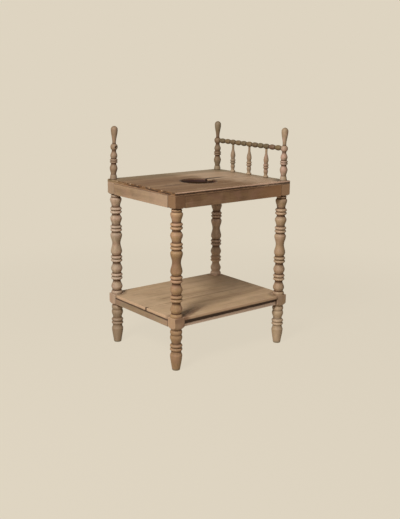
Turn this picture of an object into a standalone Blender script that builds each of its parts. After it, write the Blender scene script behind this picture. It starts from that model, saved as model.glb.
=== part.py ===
"""A spool-turned washstand: four turned legs, a boarded top with a basin hole, a shelf and an end gallery.

The stand is modelled at its real size, in metres, with +Z up. Its origin is on the floor under the
middle of the top, and its front faces -Y. The gallery stands on the right end, at +X. Every piece is
its own object, placed where it sits in the finished stand, and nothing on the stand moves.
"""

import math

import bmesh
import bpy
from mathutils import Euler, Matrix, Vector

# Fits and cuts
GAP = 0.0003                    # between two pieces that touch
OVERRUN = 0.004                 # how far a cut runs past what it cuts
WELD = 0.00001                  # points of a turning that meet on its axis
EASE = 0.0008                   # worn corners of boards and rails

# The frame
TOP_HEIGHT = 0.711              # floor to the upper face of the top
LEG_SPACING_X = 0.549           # between leg axes along the front
LEG_SPACING_Y = 0.426           # between leg axes from front to back
BLOCK_SIDE = 0.048              # square parts of the legs
LEG_RADIUS = 0.0245             # widest turning of a leg
CORE_SHARE = 0.75               # turned core inside a square block, of the leg's radius
HEAD_SHOULDER = 0.006           # height of the rounded corners under a head block
SHELF_SHOULDER = 0.009          # height of the rounded corners under a shelf block

# The top and its aprons
TOP_THICKNESS = 0.014
APRON_HEIGHT = 0.047
APRON_THICKNESS = 0.019
TOP_JOINT_Y = 0.003             # joint between the two top boards
HOLE_RADIUS = 0.0735            # basin hole
HOLE_X = -0.026
HOLE_Y = -0.0285
SPLIT_WIDTH = 0.005             # the opened joint, at the hole
SPLIT_LENGTH = 0.150            # and how far it runs past the hole
SPLIT_START = 0.012             # its cut begins this far inside the hole
TONGUE_REACH = 0.030            # broken tongue that is left in the hole
TONGUE_WIDTH = 0.040

# The shelf
SHELF_HEIGHT = 0.2175           # floor to the upper face of the shelf
SHELF_THICKNESS = 0.013
SHELF_JOINT_Y = -0.038          # joint between the two shelf boards
SHELF_BLOCK_HEIGHT = 0.044
RAIL_HEIGHT = 0.028             # rails under the shelf
RAIL_THICKNESS = 0.016
RAIL_RECESS = 0.012             # front and back rails, behind the faces of the blocks

# Tenons of aprons and rails
TENON_THICKNESS_SHARE = 0.42    # of the piece's thickness
TENON_HEIGHT_SHARE = 0.72       # of the piece's height
APRON_TENON_LENGTH = 0.018
RAIL_TENON_LENGTH = 0.017

# The gallery
POST_HEIGHT = 0.218             # above the top
LEFT_POST_OUTSET = 0.0060       # the left posts stand this far outside the leg axes
RIGHT_POST_OUTSET = 0.0035      # and the right posts this far
POST_RADIUS = 0.0165            # widest turning of a post
BALL_RISE = 0.1325              # middle of the ball that holds the rail, above the top
BALL_RADIUS = 0.0150
BALL_HALF_HEIGHT = 0.0128       # from the middle of the ball to its necks
POST_TENON_RADIUS = 0.0075
POST_TENON_LENGTH = 0.034       # through the top and into the leg
POST_LEAN = math.radians(1.8)   # the left post has worked loose
POST_LEAN_TURN = math.radians(-38)
BEAD_COUNT = 11                 # beads of the gallery rail
BEAD_RADIUS = 0.0112
BEAD_NECK_RADIUS = 0.0060
BEAD_GROOVE = 0.0012            # flat between two beads
RAIL_END_NECK = 0.003           # from a post's ball to the first bead
ROD_TENON_RADIUS = 0.0048       # ends of the gallery rail
ROD_TENON_LENGTH = 0.011
SPINDLE_COUNT = 3
BEADS_PER_SPINDLE = 3
SPINDLE_RADIUS = 0.0116
SPINDLE_TENON_RADIUS = 0.0038
SPINDLE_FOOT_TENON = 0.010      # into the top
SPINDLE_HEAD_TENON = 0.007      # into the gallery rail
PIN_RADIUS = 0.0014             # pins that lock the gallery rail
PIN_BITE_SHARE = 0.45           # how far a pin enters the rail's tenon, of its radius
CHIP_SIDE = 0.012               # piece broken from the left post's ball
CHIP_PLACE_SHARES = (0.75, -0.90, 0.10)  # middle of the break, of the ball's radius
CHIP_TURN = (0.5, 0.4, 0.6)

# Glue blocks and nails
GLUE_BLOCK_SIDE = 0.019
GLUE_BLOCK_LENGTH = 0.052
GLUE_BLOCK_CHAMFER_SHARE = 0.6
GLUE_BLOCK_PLACE_SHARE = 0.26   # from the middle of a long apron, of the leg spacing
NAIL_HEAD_RADIUS = 0.0023
NAIL_HEAD_THICKNESS = 0.0012
NAIL_RADIUS = 0.0012
NAIL_LENGTH = 0.032
NAIL_TAPER_SHARE = 0.8          # where a nail's point begins, of its length
NAIL_PLACE_SHARES = (0.16, 0.84)

# Smoothness of the turnings
SMOOTH_ANGLE = math.radians(40)
LEG_STEPS = 12
LATHE_STEPS = 16
POST_STEPS = 12
SPINDLE_STEPS = 10
PIN_STEPS = 6
HOLE_STEPS = 32
BEAD_SEGMENTS = 3
EASE_SEGMENTS = 3
RISE_SEGMENTS = 2
BALL_SEGMENTS = 4

# Turned outlines, from the top down. A row holds a place as a share of the stretch, a radius as a
# share of the widest one, and the form that leads there from the row above: a line, an ease, which
# swells or hollows smoothly, a rise, which does so in fewer steps, or a bead or ball, whose crest is
# the fourth value.
LEG_STRETCH_SHARES = (
    (0.010, 0.75, "line"),
    (0.027, 0.79, "bead", 0.88),
    (0.052, 1.00, "rise"),
    (0.122, 0.73, "ease"),
    (0.130, 0.76, "line"),
    (0.162, 0.76, "bead", 1.00),
    (0.194, 0.74, "bead", 1.00),
    (0.200, 0.69, "line"),
    (0.241, 1.00, "rise"),
    (0.300, 0.74, "ease"),
    (0.309, 0.76, "line"),
    (0.341, 0.76, "bead", 1.00),
    (0.373, 0.76, "bead", 1.00),
    (0.405, 1.00, "rise"),
    (0.490, 0.71, "ease"),
    (0.574, 0.97, "ease"),
    (0.611, 0.76, "rise"),
    (0.645, 0.76, "bead", 1.00),
    (0.677, 0.74, "bead", 1.00),
    (0.685, 0.69, "line"),
    (0.743, 0.99, "rise"),
    (0.790, 0.76, "rise"),
    (0.824, 0.76, "bead", 1.00),
    (0.856, 0.74, "bead", 1.00),
    (0.865, 0.67, "line"),
    (0.927, 0.98, "ease"),
    (0.964, 0.78, "rise"),
    (1.006, 0.88, "bead", 1.00),
)
FOOT_SHARES = (
    (-0.020, 0.86, "line"),
    (0.045, 0.86, "line"),
    (0.147, 0.88, "bead", 0.98),
    (0.218, 1.00, "rise"),
    (0.362, 0.75, "ease"),
    (0.374, 0.79, "line"),
    (0.457, 0.78, "bead", 1.02),
    (0.540, 0.79, "bead", 1.02),
    (0.572, 0.84, "line"),
    (0.651, 1.00, "rise"),
    (0.730, 0.95, "line"),
    (0.985, 0.66, "line"),
    (1.000, 0.61, "line"),
)
SPINDLE_SHARES = (
    (0.000, 0.42, "line"),
    (0.115, 0.42, "line"),
    (0.393, 0.92, "ease"),
    (0.510, 0.62, "ease"),
    (0.522, 0.72, "line"),
    (0.606, 0.72, "bead", 1.00),
    (0.690, 0.70, "bead", 1.00),
    (0.705, 0.62, "line"),
    (0.785, 0.83, "ease"),
    (0.900, 0.55, "ease"),
    (0.925, 0.68, "line"),
    (1.000, 0.90, "bead", 0.98),
)
FINIAL_SHARES = (
    (0.000, 0.00, "line"),
    (0.012, 0.30, "line"),
    (0.050, 0.60, "line"),
    (0.110, 0.79, "line"),
    (0.200, 0.86, "line"),
    (0.300, 0.83, "line"),
    (0.920, 0.46, "ease"),
    (1.000, 0.47, "line"),
)
POST_STEM_SHARES = (
    (0.000, 0.55, "line"),
    (0.030, 0.54, "line"),
    (0.200, 0.88, "ease"),
    (0.300, 0.72, "ease"),
    (0.310, 0.76, "line"),
    (0.380, 0.75, "bead", 0.99),
    (0.450, 0.75, "bead", 0.99),
    (0.465, 0.66, "line"),
    (0.630, 0.98, "ease"),
    (0.840, 0.67, "ease"),
    (0.860, 0.76, "line"),
    (0.925, 0.85, "rise"),
    (1.000, 0.92, "line"),
)

# The lathe's cut at the lower corners of a block: a radius as a share of the block's side, and a
# height as a share of the shoulder.
SHOULDER_SHARES = ((1.00, 1.70), (0.64, 0.50), (0.53, 0.00))

# Finishes: colour, roughness, metallic
TURNED_WOOD = ((0.42, 0.28, 0.18), 0.50, 0.0)
TOP_WOOD = ((0.27, 0.17, 0.10), 0.60, 0.0)
APRON_WOOD = ((0.30, 0.19, 0.12), 0.55, 0.0)
SHELF_WOOD = ((0.33, 0.22, 0.14), 0.60, 0.0)
HIDDEN_WOOD = ((0.45, 0.34, 0.22), 0.75, 0.0)
IRON = ((0.10, 0.08, 0.07), 0.70, 0.8)

CORNERS = {
    "front_left": (-1, -1),
    "front_right": (1, -1),
    "back_left": (-1, 1),
    "back_right": (1, 1),
}

# Rails that the shelf boards are nailed to
NAILED_RAILS = ("shelf_rail_left", "shelf_rail_right")

# Straight pieces that stand for each curved form of a turned outline
SEGMENTS = {"ease": EASE_SEGMENTS, "rise": RISE_SEGMENTS, "bead": BEAD_SEGMENTS, "ball": BALL_SEGMENTS}

# Levels and faces that several pieces share
TOP_UNDERSIDE = TOP_HEIGHT - TOP_THICKNESS
APRON_TOP = TOP_UNDERSIDE - GAP
APRON_BOTTOM = APRON_TOP - APRON_HEIGHT
SHELF_UNDERSIDE = SHELF_HEIGHT - SHELF_THICKNESS
RAIL_TOP = SHELF_UNDERSIDE - GAP
SHELF_BLOCK_BOTTOM = SHELF_HEIGHT - SHELF_BLOCK_HEIGHT
HALF_X = LEG_SPACING_X / 2 + BLOCK_SIDE / 2
HALF_Y = LEG_SPACING_Y / 2 + BLOCK_SIDE / 2
CLEAR_X = LEG_SPACING_X / 2 - BLOCK_SIDE / 2 - GAP
CLEAR_Y = LEG_SPACING_Y / 2 - BLOCK_SIDE / 2 - GAP
BALL_HEIGHT = TOP_HEIGHT + BALL_RISE
GALLERY_X = LEG_SPACING_X / 2 + RIGHT_POST_OUTSET
ROD_HALF_LENGTH = LEG_SPACING_Y / 2 + RIGHT_POST_OUTSET - BALL_RADIUS - GAP
BEAD_PITCH = 2 * (ROD_HALF_LENGTH - RAIL_END_NECK) / BEAD_COUNT


def clear_scene():
    """Removes whatever the scene holds."""
    for obj in list(bpy.data.objects):
        bpy.data.objects.remove(obj)


def new_collection(name, hidden=False):
    """Adds a collection to the scene."""
    collection = bpy.data.collections.new(name)
    collection.hide_render = hidden
    bpy.context.scene.collection.children.link(collection)
    return collection


def finish(name, look):
    """A plain material in the piece's own colour."""
    colour, roughness, metallic = look
    material = bpy.data.materials.new(name + "_finish")
    material.use_nodes = True
    shader = material.node_tree.nodes["Principled BSDF"]
    shader.inputs["Base Color"].default_value = (*colour, 1.0)
    shader.inputs["Roughness"].default_value = roughness
    shader.inputs["Metallic"].default_value = metallic
    return material


def add_object(name, mesh, collection, place=(0, 0, 0), turn=(0, 0, 0)):
    """Links an object for the mesh, with its location and rotation."""
    obj = bpy.data.objects.new(name, mesh)
    obj.location = place
    obj.rotation_euler = turn
    collection.objects.link(obj)
    return obj


def as_piece(obj, stand, look):
    """Gives the object its material and hangs it on the stand's empty."""
    obj.data.materials.append(finish(obj.name, look))
    obj.parent = stand
    return obj


def as_cutter(obj):
    """Keeps a helper out of renders."""
    obj.hide_render = True
    obj.display_type = "WIRE"
    return obj


def fill_box(shape, low, high):
    """Adds a box between two corners to a bmesh."""
    low = Vector(low)
    high = Vector(high)
    place = Matrix.Translation((low + high) / 2)
    return bmesh.ops.create_cube(shape, size=1, matrix=place @ Matrix.Diagonal((*(high - low), 1)))


def box(name, low, high, collection, place=(0, 0, 0), turn=(0, 0, 0), eased=False):
    """A box between two corners, with its edges eased where they show wear."""
    mesh = bpy.data.meshes.new(name)
    shape = bmesh.new()
    fill_box(shape, low, high)
    if eased:
        bmesh.ops.bevel(
            shape, geom=list(shape.edges), offset=EASE, segments=1, profile=0.5, affect="EDGES", material=-1
        )
    shape.to_mesh(mesh)
    shape.free()
    return add_object(name, mesh, collection, place, turn)


def prism(name, corners, bottom, top, collection):
    """An upright solid over a flat outline of (x, y) corners."""
    mesh = bpy.data.meshes.new(name)
    shape = bmesh.new()
    face = shape.faces.new([shape.verts.new((x, y, bottom)) for x, y in corners])
    grown = bmesh.ops.extrude_face_region(shape, geom=[face])["geom"]
    upper = [vert for vert in grown if isinstance(vert, bmesh.types.BMVert)]
    bmesh.ops.translate(shape, verts=upper, vec=(0, 0, top - bottom))
    bmesh.ops.recalc_face_normals(shape, faces=list(shape.faces))
    shape.to_mesh(mesh)
    shape.free()
    return add_object(name, mesh, collection)


def curve_points(start, row, top, stretch, radius):
    """The outline's points from one row to the next, without the first."""
    place, share, form = row[:3]
    if form == "line":
        return [(share * radius, top - place * stretch)]
    points = []
    steps = SEGMENTS[form]
    for step in range(1, steps + 1):
        way = step / steps
        if form in ("ease", "rise"):
            swell = start[1] + (share - start[1]) * (1 - math.cos(math.pi * way)) / 2
        else:
            crest = row[3]
            root = start[1] if way < 0.5 else share
            side = 2 * way - 1
            swell = math.sqrt(crest * crest - side * side * (crest * crest - root * root))
        points.append((swell * radius, top - (start[0] + (place - start[0]) * way) * stretch))
    return points


def outline(rows, top, stretch, radius):
    """Works a table of shares out as points (radius, height), from the top down."""
    points = [(rows[0][1] * radius, top - rows[0][0] * stretch)]
    for start, row in zip(rows, rows[1:]):
        points += curve_points(start, row, top, stretch, radius)
    return points


def turned(name, points, collection, steps, place=(0, 0, 0), turn=(0, 0, 0)):
    """Turns an outline round its own Z axis."""
    mesh = bpy.data.meshes.new(name)
    shape = bmesh.new()
    row = [shape.verts.new((radius, 0, height)) for radius, height in points]
    for upper, lower in zip(row, row[1:]):
        shape.edges.new((upper, lower))
    shape.to_mesh(mesh)
    shape.free()
    obj = add_object(name, mesh, collection, place, turn)
    screw = obj.modifiers.new("Turning", "SCREW")
    screw.steps = steps
    screw.render_steps = steps
    screw.use_merge_vertices = True
    screw.merge_threshold = WELD
    screw.use_smooth_shade = True
    return obj


def peg(name, radius, top, bottom, collection, steps, place=(0, 0, 0), turn=(0, 0, 0)):
    """A plain turned cylinder between two heights."""
    points = [(0, top), (radius, top), (radius, bottom), (0, bottom)]
    return turned(name, points, collection, steps, place, turn)


def boolean(obj, operation, other):
    """Joins, cuts or trims the object with another object or with all those of a collection."""
    modifier = obj.modifiers.new(operation.title(), "BOOLEAN")
    modifier.operation = operation
    if isinstance(other, bpy.types.Collection):
        modifier.operand_type = "COLLECTION"
        modifier.collection = other
    else:
        modifier.object = other
    return obj


def baked_mesh(obj, name):
    """The object's mesh with its modifiers worked out, shaded smooth between sharp edges."""
    mesh = bpy.data.meshes.new_from_object(obj.evaluated_get(bpy.context.evaluated_depsgraph_get()))
    mesh.name = name
    mesh.shade_smooth()
    mesh.set_sharp_from_angle(angle=SMOOTH_ANGLE)
    return mesh


def add_block(leg, name, bottom, top, shoulder, helpers):
    """Joins a square block, rounded by the lathe at its lower corners, to a leg."""
    half = BLOCK_SIDE / 2
    block = as_cutter(box(name, (-half, -half, bottom), (half, half, top), helpers))
    points = [(0, top + OVERRUN), (BLOCK_SIDE, top + OVERRUN)]
    points += [(share * BLOCK_SIDE, bottom + rise * shoulder) for share, rise in SHOULDER_SHARES]
    points += [(share * BLOCK_SIDE, bottom - OVERRUN) for share in (SHOULDER_SHARES[-1][0], 0)]
    # Half a step's turn keeps the lathe's edges off the corners of the block.
    turn = (0, 0, math.pi / LATHE_STEPS)
    lathe = as_cutter(turned(name + "_lathe", points, helpers, LATHE_STEPS, turn=turn))
    boolean(block, "INTERSECT", lathe)
    boolean(leg, "UNION", block)


def make_legs(stand, parts, helpers, mortises):
    """Four turned legs, each one piece with its head block, shelf block and foot."""
    core = CORE_SHARE * LEG_RADIUS
    block_middle = (SHELF_HEIGHT + SHELF_BLOCK_BOTTOM) / 2
    points = [(0, APRON_TOP - OVERRUN), (core, APRON_TOP - OVERRUN)]
    points += outline(LEG_STRETCH_SHARES, APRON_BOTTOM, APRON_BOTTOM - SHELF_HEIGHT, LEG_RADIUS)
    points += [(core, block_middle)]
    points += outline(FOOT_SHARES, SHELF_BLOCK_BOTTOM, SHELF_BLOCK_BOTTOM, LEG_RADIUS)
    points += [(0, 0)]
    blank = as_cutter(turned("leg_blank", points, helpers, LEG_STEPS))
    add_block(blank, "head_block", APRON_BOTTOM, APRON_TOP, HEAD_SHOULDER, helpers)
    add_block(blank, "shelf_block", SHELF_BLOCK_BOTTOM, SHELF_HEIGHT, SHELF_SHOULDER, helpers)
    for corner, (side_x, side_y) in CORNERS.items():
        place = (side_x * LEG_SPACING_X / 2, side_y * LEG_SPACING_Y / 2, 0)
        leg = add_object("leg_" + corner, baked_mesh(blank, "leg_" + corner), parts, place)
        boolean(leg, "DIFFERENCE", mortises)
        as_piece(leg, stand, TURNED_WOOD)


def tenoned_board(name, half_length, half_height, half_thickness, tenon_length, parts, place, turn):
    """A board along its own X axis with a tenon on each end."""
    mesh = bpy.data.meshes.new(name)
    shape = bmesh.new()
    fill_box(
        shape,
        (-half_length, -half_thickness, -half_height),
        (half_length, half_thickness, half_height),
    )
    ends = [face for face in shape.faces if abs(face.normal.x) > 0.5]
    bmesh.ops.inset_individual(shape, faces=ends, thickness=half_thickness * (1 - TENON_THICKNESS_SHARE))
    for face in ends:
        for vert in face.verts:
            vert.co.y = math.copysign(half_thickness * TENON_THICKNESS_SHARE, vert.co.y)
            vert.co.z = math.copysign(half_height * TENON_HEIGHT_SHARE, vert.co.z)
        outward = face.normal.copy()
        grown = bmesh.ops.extrude_discrete_faces(shape, faces=[face])["faces"]
        bmesh.ops.translate(shape, verts=list(grown[0].verts), vec=outward * tenon_length)
    shape.to_mesh(mesh)
    shape.free()
    return add_object(name, mesh, parts, place, turn)


def cut_mortises(name, half_length, half_height, half_thickness, tenon_length, mortises, place, turn):
    """Boxes for the two mortises that a tenoned board enters."""
    deep = half_thickness * TENON_THICKNESS_SHARE + GAP
    tall = half_height * TENON_HEIGHT_SHARE + GAP
    for end in (-1, 1):
        near = end * (half_length - OVERRUN)
        far = end * (half_length + tenon_length + GAP)
        low = (min(near, far), -deep, -tall)
        high = (max(near, far), deep, tall)
        label = f"{name}_mortise_{'left' if end < 0 else 'right'}"
        as_cutter(box(label, low, high, mortises, place, turn))


def make_frame(stand, parts, mortises, nail_holes):
    """Aprons under the top and rails under the shelf, tenoned between the legs."""
    quarter = math.radians(90)
    apron_middle = (APRON_TOP + APRON_BOTTOM) / 2
    apron_half = (APRON_HEIGHT / 2, APRON_THICKNESS / 2, APRON_TENON_LENGTH)
    rail_middle = RAIL_TOP - RAIL_HEIGHT / 2
    rail_half = (RAIL_HEIGHT / 2, RAIL_THICKNESS / 2, RAIL_TENON_LENGTH)
    apron_x = HALF_X - APRON_THICKNESS / 2
    apron_y = HALF_Y - APRON_THICKNESS / 2
    rail_x = HALF_X - RAIL_THICKNESS / 2
    rail_y = HALF_Y - RAIL_RECESS - RAIL_THICKNESS / 2
    boards = (
        ("apron_front", CLEAR_X, apron_half, (0, -apron_y, apron_middle), 0, APRON_WOOD),
        ("apron_back", CLEAR_X, apron_half, (0, apron_y, apron_middle), 0, APRON_WOOD),
        ("apron_left", CLEAR_Y, apron_half, (-apron_x, 0, apron_middle), quarter, APRON_WOOD),
        ("apron_right", CLEAR_Y, apron_half, (apron_x, 0, apron_middle), quarter, APRON_WOOD),
        ("shelf_rail_front", CLEAR_X, rail_half, (0, -rail_y, rail_middle), 0, SHELF_WOOD),
        ("shelf_rail_back", CLEAR_X, rail_half, (0, rail_y, rail_middle), 0, SHELF_WOOD),
        ("shelf_rail_left", CLEAR_Y, rail_half, (-rail_x, 0, rail_middle), quarter, SHELF_WOOD),
        ("shelf_rail_right", CLEAR_Y, rail_half, (rail_x, 0, rail_middle), quarter, SHELF_WOOD),
    )
    for name, half_length, section, place, spin, look in boards:
        turn = (0, 0, spin)
        board = tenoned_board(name, half_length, *section, parts, place, turn)
        if name in NAILED_RAILS:
            boolean(board, "DIFFERENCE", nail_holes)
        as_piece(board, stand, look)
        cut_mortises(name, half_length, *section, mortises, place, turn)


def make_hole_cutter(helpers):
    """The basin hole, which leaves a broken tongue standing at its right side."""
    middle = (HOLE_X, HOLE_Y, 0)
    upper = TOP_HEIGHT + OVERRUN
    lower = TOP_UNDERSIDE - OVERRUN
    hole = as_cutter(peg("basin_hole", HOLE_RADIUS, upper, lower, helpers, HOLE_STEPS, middle))
    rim = HOLE_X + HOLE_RADIUS
    back = TOP_JOINT_Y - SPLIT_WIDTH / 2
    corners = (
        (rim + OVERRUN, back),
        (rim - OVERRUN, back),
        (rim - TONGUE_REACH, back - TONGUE_WIDTH),
        (rim + OVERRUN, back - TONGUE_WIDTH),
    )
    tongue = as_cutter(prism("tongue", corners, lower - OVERRUN, upper + OVERRUN, helpers))
    return boolean(hole, "DIFFERENCE", tongue)


def make_split_cutter(helpers):
    """A long wedge where the joint of the top boards has opened beside the hole."""
    rim = HOLE_X + HOLE_RADIUS
    half = SPLIT_WIDTH / 2
    corners = (
        (rim - SPLIT_START, TOP_JOINT_Y - half),
        (rim + SPLIT_LENGTH, TOP_JOINT_Y),
        (rim - SPLIT_START, TOP_JOINT_Y + half),
    )
    return as_cutter(prism("split", corners, TOP_UNDERSIDE - OVERRUN, TOP_HEIGHT + OVERRUN, helpers))


def make_top(stand, parts, helpers, bores):
    """Two boards side by side, with the basin hole and the bores for posts and spindles."""
    hole = make_hole_cutter(helpers)
    split = make_split_cutter(helpers)
    spans = {
        "top_board_front": (-HALF_Y, TOP_JOINT_Y - GAP / 2),
        "top_board_rear": (TOP_JOINT_Y + GAP / 2, HALF_Y),
    }
    for name, (front, back) in spans.items():
        low = (-HALF_X, front, TOP_UNDERSIDE)
        high = (HALF_X, back, TOP_HEIGHT)
        board = box(name, low, high, parts, eased=True)
        boolean(board, "DIFFERENCE", hole)
        boolean(board, "DIFFERENCE", split)
        boolean(board, "DIFFERENCE", bores)
        as_piece(board, stand, TOP_WOOD)


def make_shelf(stand, parts, nail_holes, notches):
    """Two boards notched round the shelf blocks and flush with them."""
    half = BLOCK_SIDE / 2 + GAP
    for corner, (side_x, side_y) in CORNERS.items():
        place = Vector((side_x * LEG_SPACING_X / 2, side_y * LEG_SPACING_Y / 2, 0))
        outer = Vector((side_x, side_y, 0)) * OVERRUN
        low = Vector((-half, -half, SHELF_UNDERSIDE - OVERRUN)) + Vector(map(min, outer, (0, 0, 0)))
        high = Vector((half, half, SHELF_HEIGHT + OVERRUN)) + Vector(map(max, outer, (0, 0, 0)))
        as_cutter(box("notch_" + corner, low, high, notches, place))
    spans = {
        "shelf_board_front": (-HALF_Y, SHELF_JOINT_Y - GAP / 2),
        "shelf_board_rear": (SHELF_JOINT_Y + GAP / 2, HALF_Y),
    }
    for name, (front, back) in spans.items():
        low = (-HALF_X, front, SHELF_UNDERSIDE)
        high = (HALF_X, back, SHELF_HEIGHT)
        board = box(name, low, high, parts, eased=True)
        boolean(board, "DIFFERENCE", notches)
        boolean(board, "DIFFERENCE", nail_holes)
        as_piece(board, stand, SHELF_WOOD)


def nail_outline(fit=0):
    """A nail from its head to its point, or its hole when a fit is added all round."""
    return [
        (0, fit),
        (NAIL_HEAD_RADIUS + fit, fit),
        (NAIL_HEAD_RADIUS + fit, -NAIL_HEAD_THICKNESS - fit),
        (NAIL_RADIUS + fit, -NAIL_HEAD_THICKNESS - fit),
        (NAIL_RADIUS + fit, -NAIL_LENGTH * NAIL_TAPER_SHARE),
        (0, -NAIL_LENGTH - fit),
    ]


def make_nails(stand, parts, nail_holes):
    """Nails through the ends of the shelf boards into the side rails."""
    rail_x = HALF_X - RAIL_THICKNESS / 2
    spans = {"front": (-CLEAR_Y, SHELF_JOINT_Y), "rear": (SHELF_JOINT_Y, CLEAR_Y)}
    for end, side in (("left", -1), ("right", 1)):
        for board, (front, back) in spans.items():
            for number, share in enumerate(NAIL_PLACE_SHARES, 1):
                name = f"shelf_nail_{end}_{board}_{number}"
                place = (side * rail_x, front + (back - front) * share, SHELF_HEIGHT)
                as_piece(turned(name, nail_outline(), parts, PIN_STEPS, place), stand, IRON)
                as_cutter(turned(name + "_hole", nail_outline(GAP), nail_holes, PIN_STEPS, place))


def post_outline():
    """A gallery post from the finial down to its tenon, with the seat on the top at height zero."""
    ball_top = BALL_RISE + BALL_HALF_HEIGHT
    ball_bottom = BALL_RISE - BALL_HALF_HEIGHT
    ball_shares = (
        (0, FINIAL_SHARES[-1][1], "line"),
        (1, POST_STEM_SHARES[0][1], "ball", BALL_RADIUS / POST_RADIUS),
    )
    points = outline(FINIAL_SHARES, POST_HEIGHT, POST_HEIGHT - ball_top, POST_RADIUS)
    points += outline(ball_shares, ball_top, ball_top - ball_bottom, POST_RADIUS)[1:]
    points += outline(POST_STEM_SHARES, ball_bottom, ball_bottom - GAP, POST_RADIUS)[1:]
    points += [(POST_TENON_RADIUS, GAP), (POST_TENON_RADIUS, -POST_TENON_LENGTH), (0, -POST_TENON_LENGTH)]
    return points


def make_posts(stand, parts, helpers, bores, mortises):
    """Three gallery posts. The front left one is lost, and only its tenon is left in the bore."""
    quarter = math.radians(90)
    seat_drop = POST_TENON_LENGTH + GAP
    lean_axis = Vector((math.cos(POST_LEAN_TURN + quarter), math.sin(POST_LEAN_TURN + quarter), 0))
    lean = Matrix.Rotation(POST_LEAN, 4, lean_axis).to_euler()
    lift = math.sin(POST_LEAN) * POST_RADIUS
    rod_bore_depth = ROD_TENON_LENGTH + GAP
    for corner, (side_x, side_y) in CORNERS.items():
        loose = corner == "back_left"
        turn = lean if loose else Euler((0, 0, 0))
        outset = LEFT_POST_OUTSET if side_x < 0 else RIGHT_POST_OUTSET
        place = Vector((side_x, side_y, 0)) * outset
        place += Vector((side_x * LEG_SPACING_X / 2, side_y * LEG_SPACING_Y / 2, TOP_HEIGHT))
        place.z += lift if loose else 0
        bore = ("post_bore_" + corner, POST_TENON_RADIUS + GAP, OVERRUN, -seat_drop)
        mortises.objects.link(as_cutter(peg(*bore, bores, POST_STEPS, place, turn)))
        if corner == "front_left":
            stub = ("post_stub_" + corner, POST_TENON_RADIUS, -GAP, -POST_TENON_LENGTH)
            as_piece(peg(*stub, parts, POST_STEPS, place), stand, TURNED_WOOD)
            continue
        post = turned("post_" + corner, post_outline(), parts, POST_STEPS, place, turn)
        # The socket for the gallery rail opens towards the post at the other end of the rail.
        ball = place + turn.to_matrix() @ Vector((0, 0, BALL_RISE))
        mouth = Euler((-side_y * quarter, 0, 0))
        socket = ("socket_" + corner, ROD_TENON_RADIUS + GAP)
        reach = (-BALL_RADIUS + rod_bore_depth, -BALL_RADIUS - OVERRUN)
        boolean(post, "DIFFERENCE", as_cutter(peg(*socket, *reach, helpers, POST_STEPS, ball, mouth)))
        if loose:
            half = CHIP_SIDE / 2
            broken = ball + BALL_RADIUS * Vector(CHIP_PLACE_SHARES)
            chip = box("ball_chip", (-half,) * 3, (half,) * 3, helpers, broken, CHIP_TURN)
            boolean(post, "DIFFERENCE", as_cutter(chip))
        else:
            make_pin(stand, parts, helpers, post, corner, ball)
        as_piece(post, stand, TURNED_WOOD)


def make_pin(stand, parts, helpers, post, corner, ball):
    """A pin from the inner side of the post's ball into the tenon of the gallery rail."""
    turn = (0, math.radians(-90), 0)
    side = -1 if ball.y > 0 else 1
    depth = BALL_RADIUS - ROD_TENON_LENGTH / 2
    place = ball + Vector((0, side * depth, 0))
    outer = math.sqrt(BALL_RADIUS * BALL_RADIUS - depth * depth)
    inner = ROD_TENON_RADIUS * (1 - PIN_BITE_SHARE)
    pin = peg("rail_pin_" + corner, PIN_RADIUS, outer, inner, parts, PIN_STEPS, place, turn)
    as_piece(pin, stand, TURNED_WOOD)
    hole = ("rail_pin_hole_" + corner, PIN_RADIUS + GAP, outer + OVERRUN, inner - GAP)
    cutter = as_cutter(peg(*hole, helpers, PIN_STEPS, place, turn))
    boolean(post, "DIFFERENCE", cutter)


def rod_outline():
    """The beaded gallery rail along its own axis, from one tenon to the other."""
    end = ROD_HALF_LENGTH + ROD_TENON_LENGTH
    points = [(0, end), (ROD_TENON_RADIUS, end), (ROD_TENON_RADIUS, ROD_HALF_LENGTH)]
    points += [(BEAD_NECK_RADIUS, ROD_HALF_LENGTH)]
    neck_share = BEAD_NECK_RADIUS / BEAD_RADIUS
    bead_shares = ((0, neck_share, "line"), (1, neck_share, "ball", 1.0))
    for number in range(BEAD_COUNT):
        top = BEAD_PITCH * (BEAD_COUNT / 2 - number) - BEAD_GROOVE / 2
        points += outline(bead_shares, top, BEAD_PITCH - BEAD_GROOVE, BEAD_RADIUS)
    points += [(BEAD_NECK_RADIUS, -ROD_HALF_LENGTH)]
    points += [(ROD_TENON_RADIUS, -ROD_HALF_LENGTH), (ROD_TENON_RADIUS, -end), (0, -end)]
    return points


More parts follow.
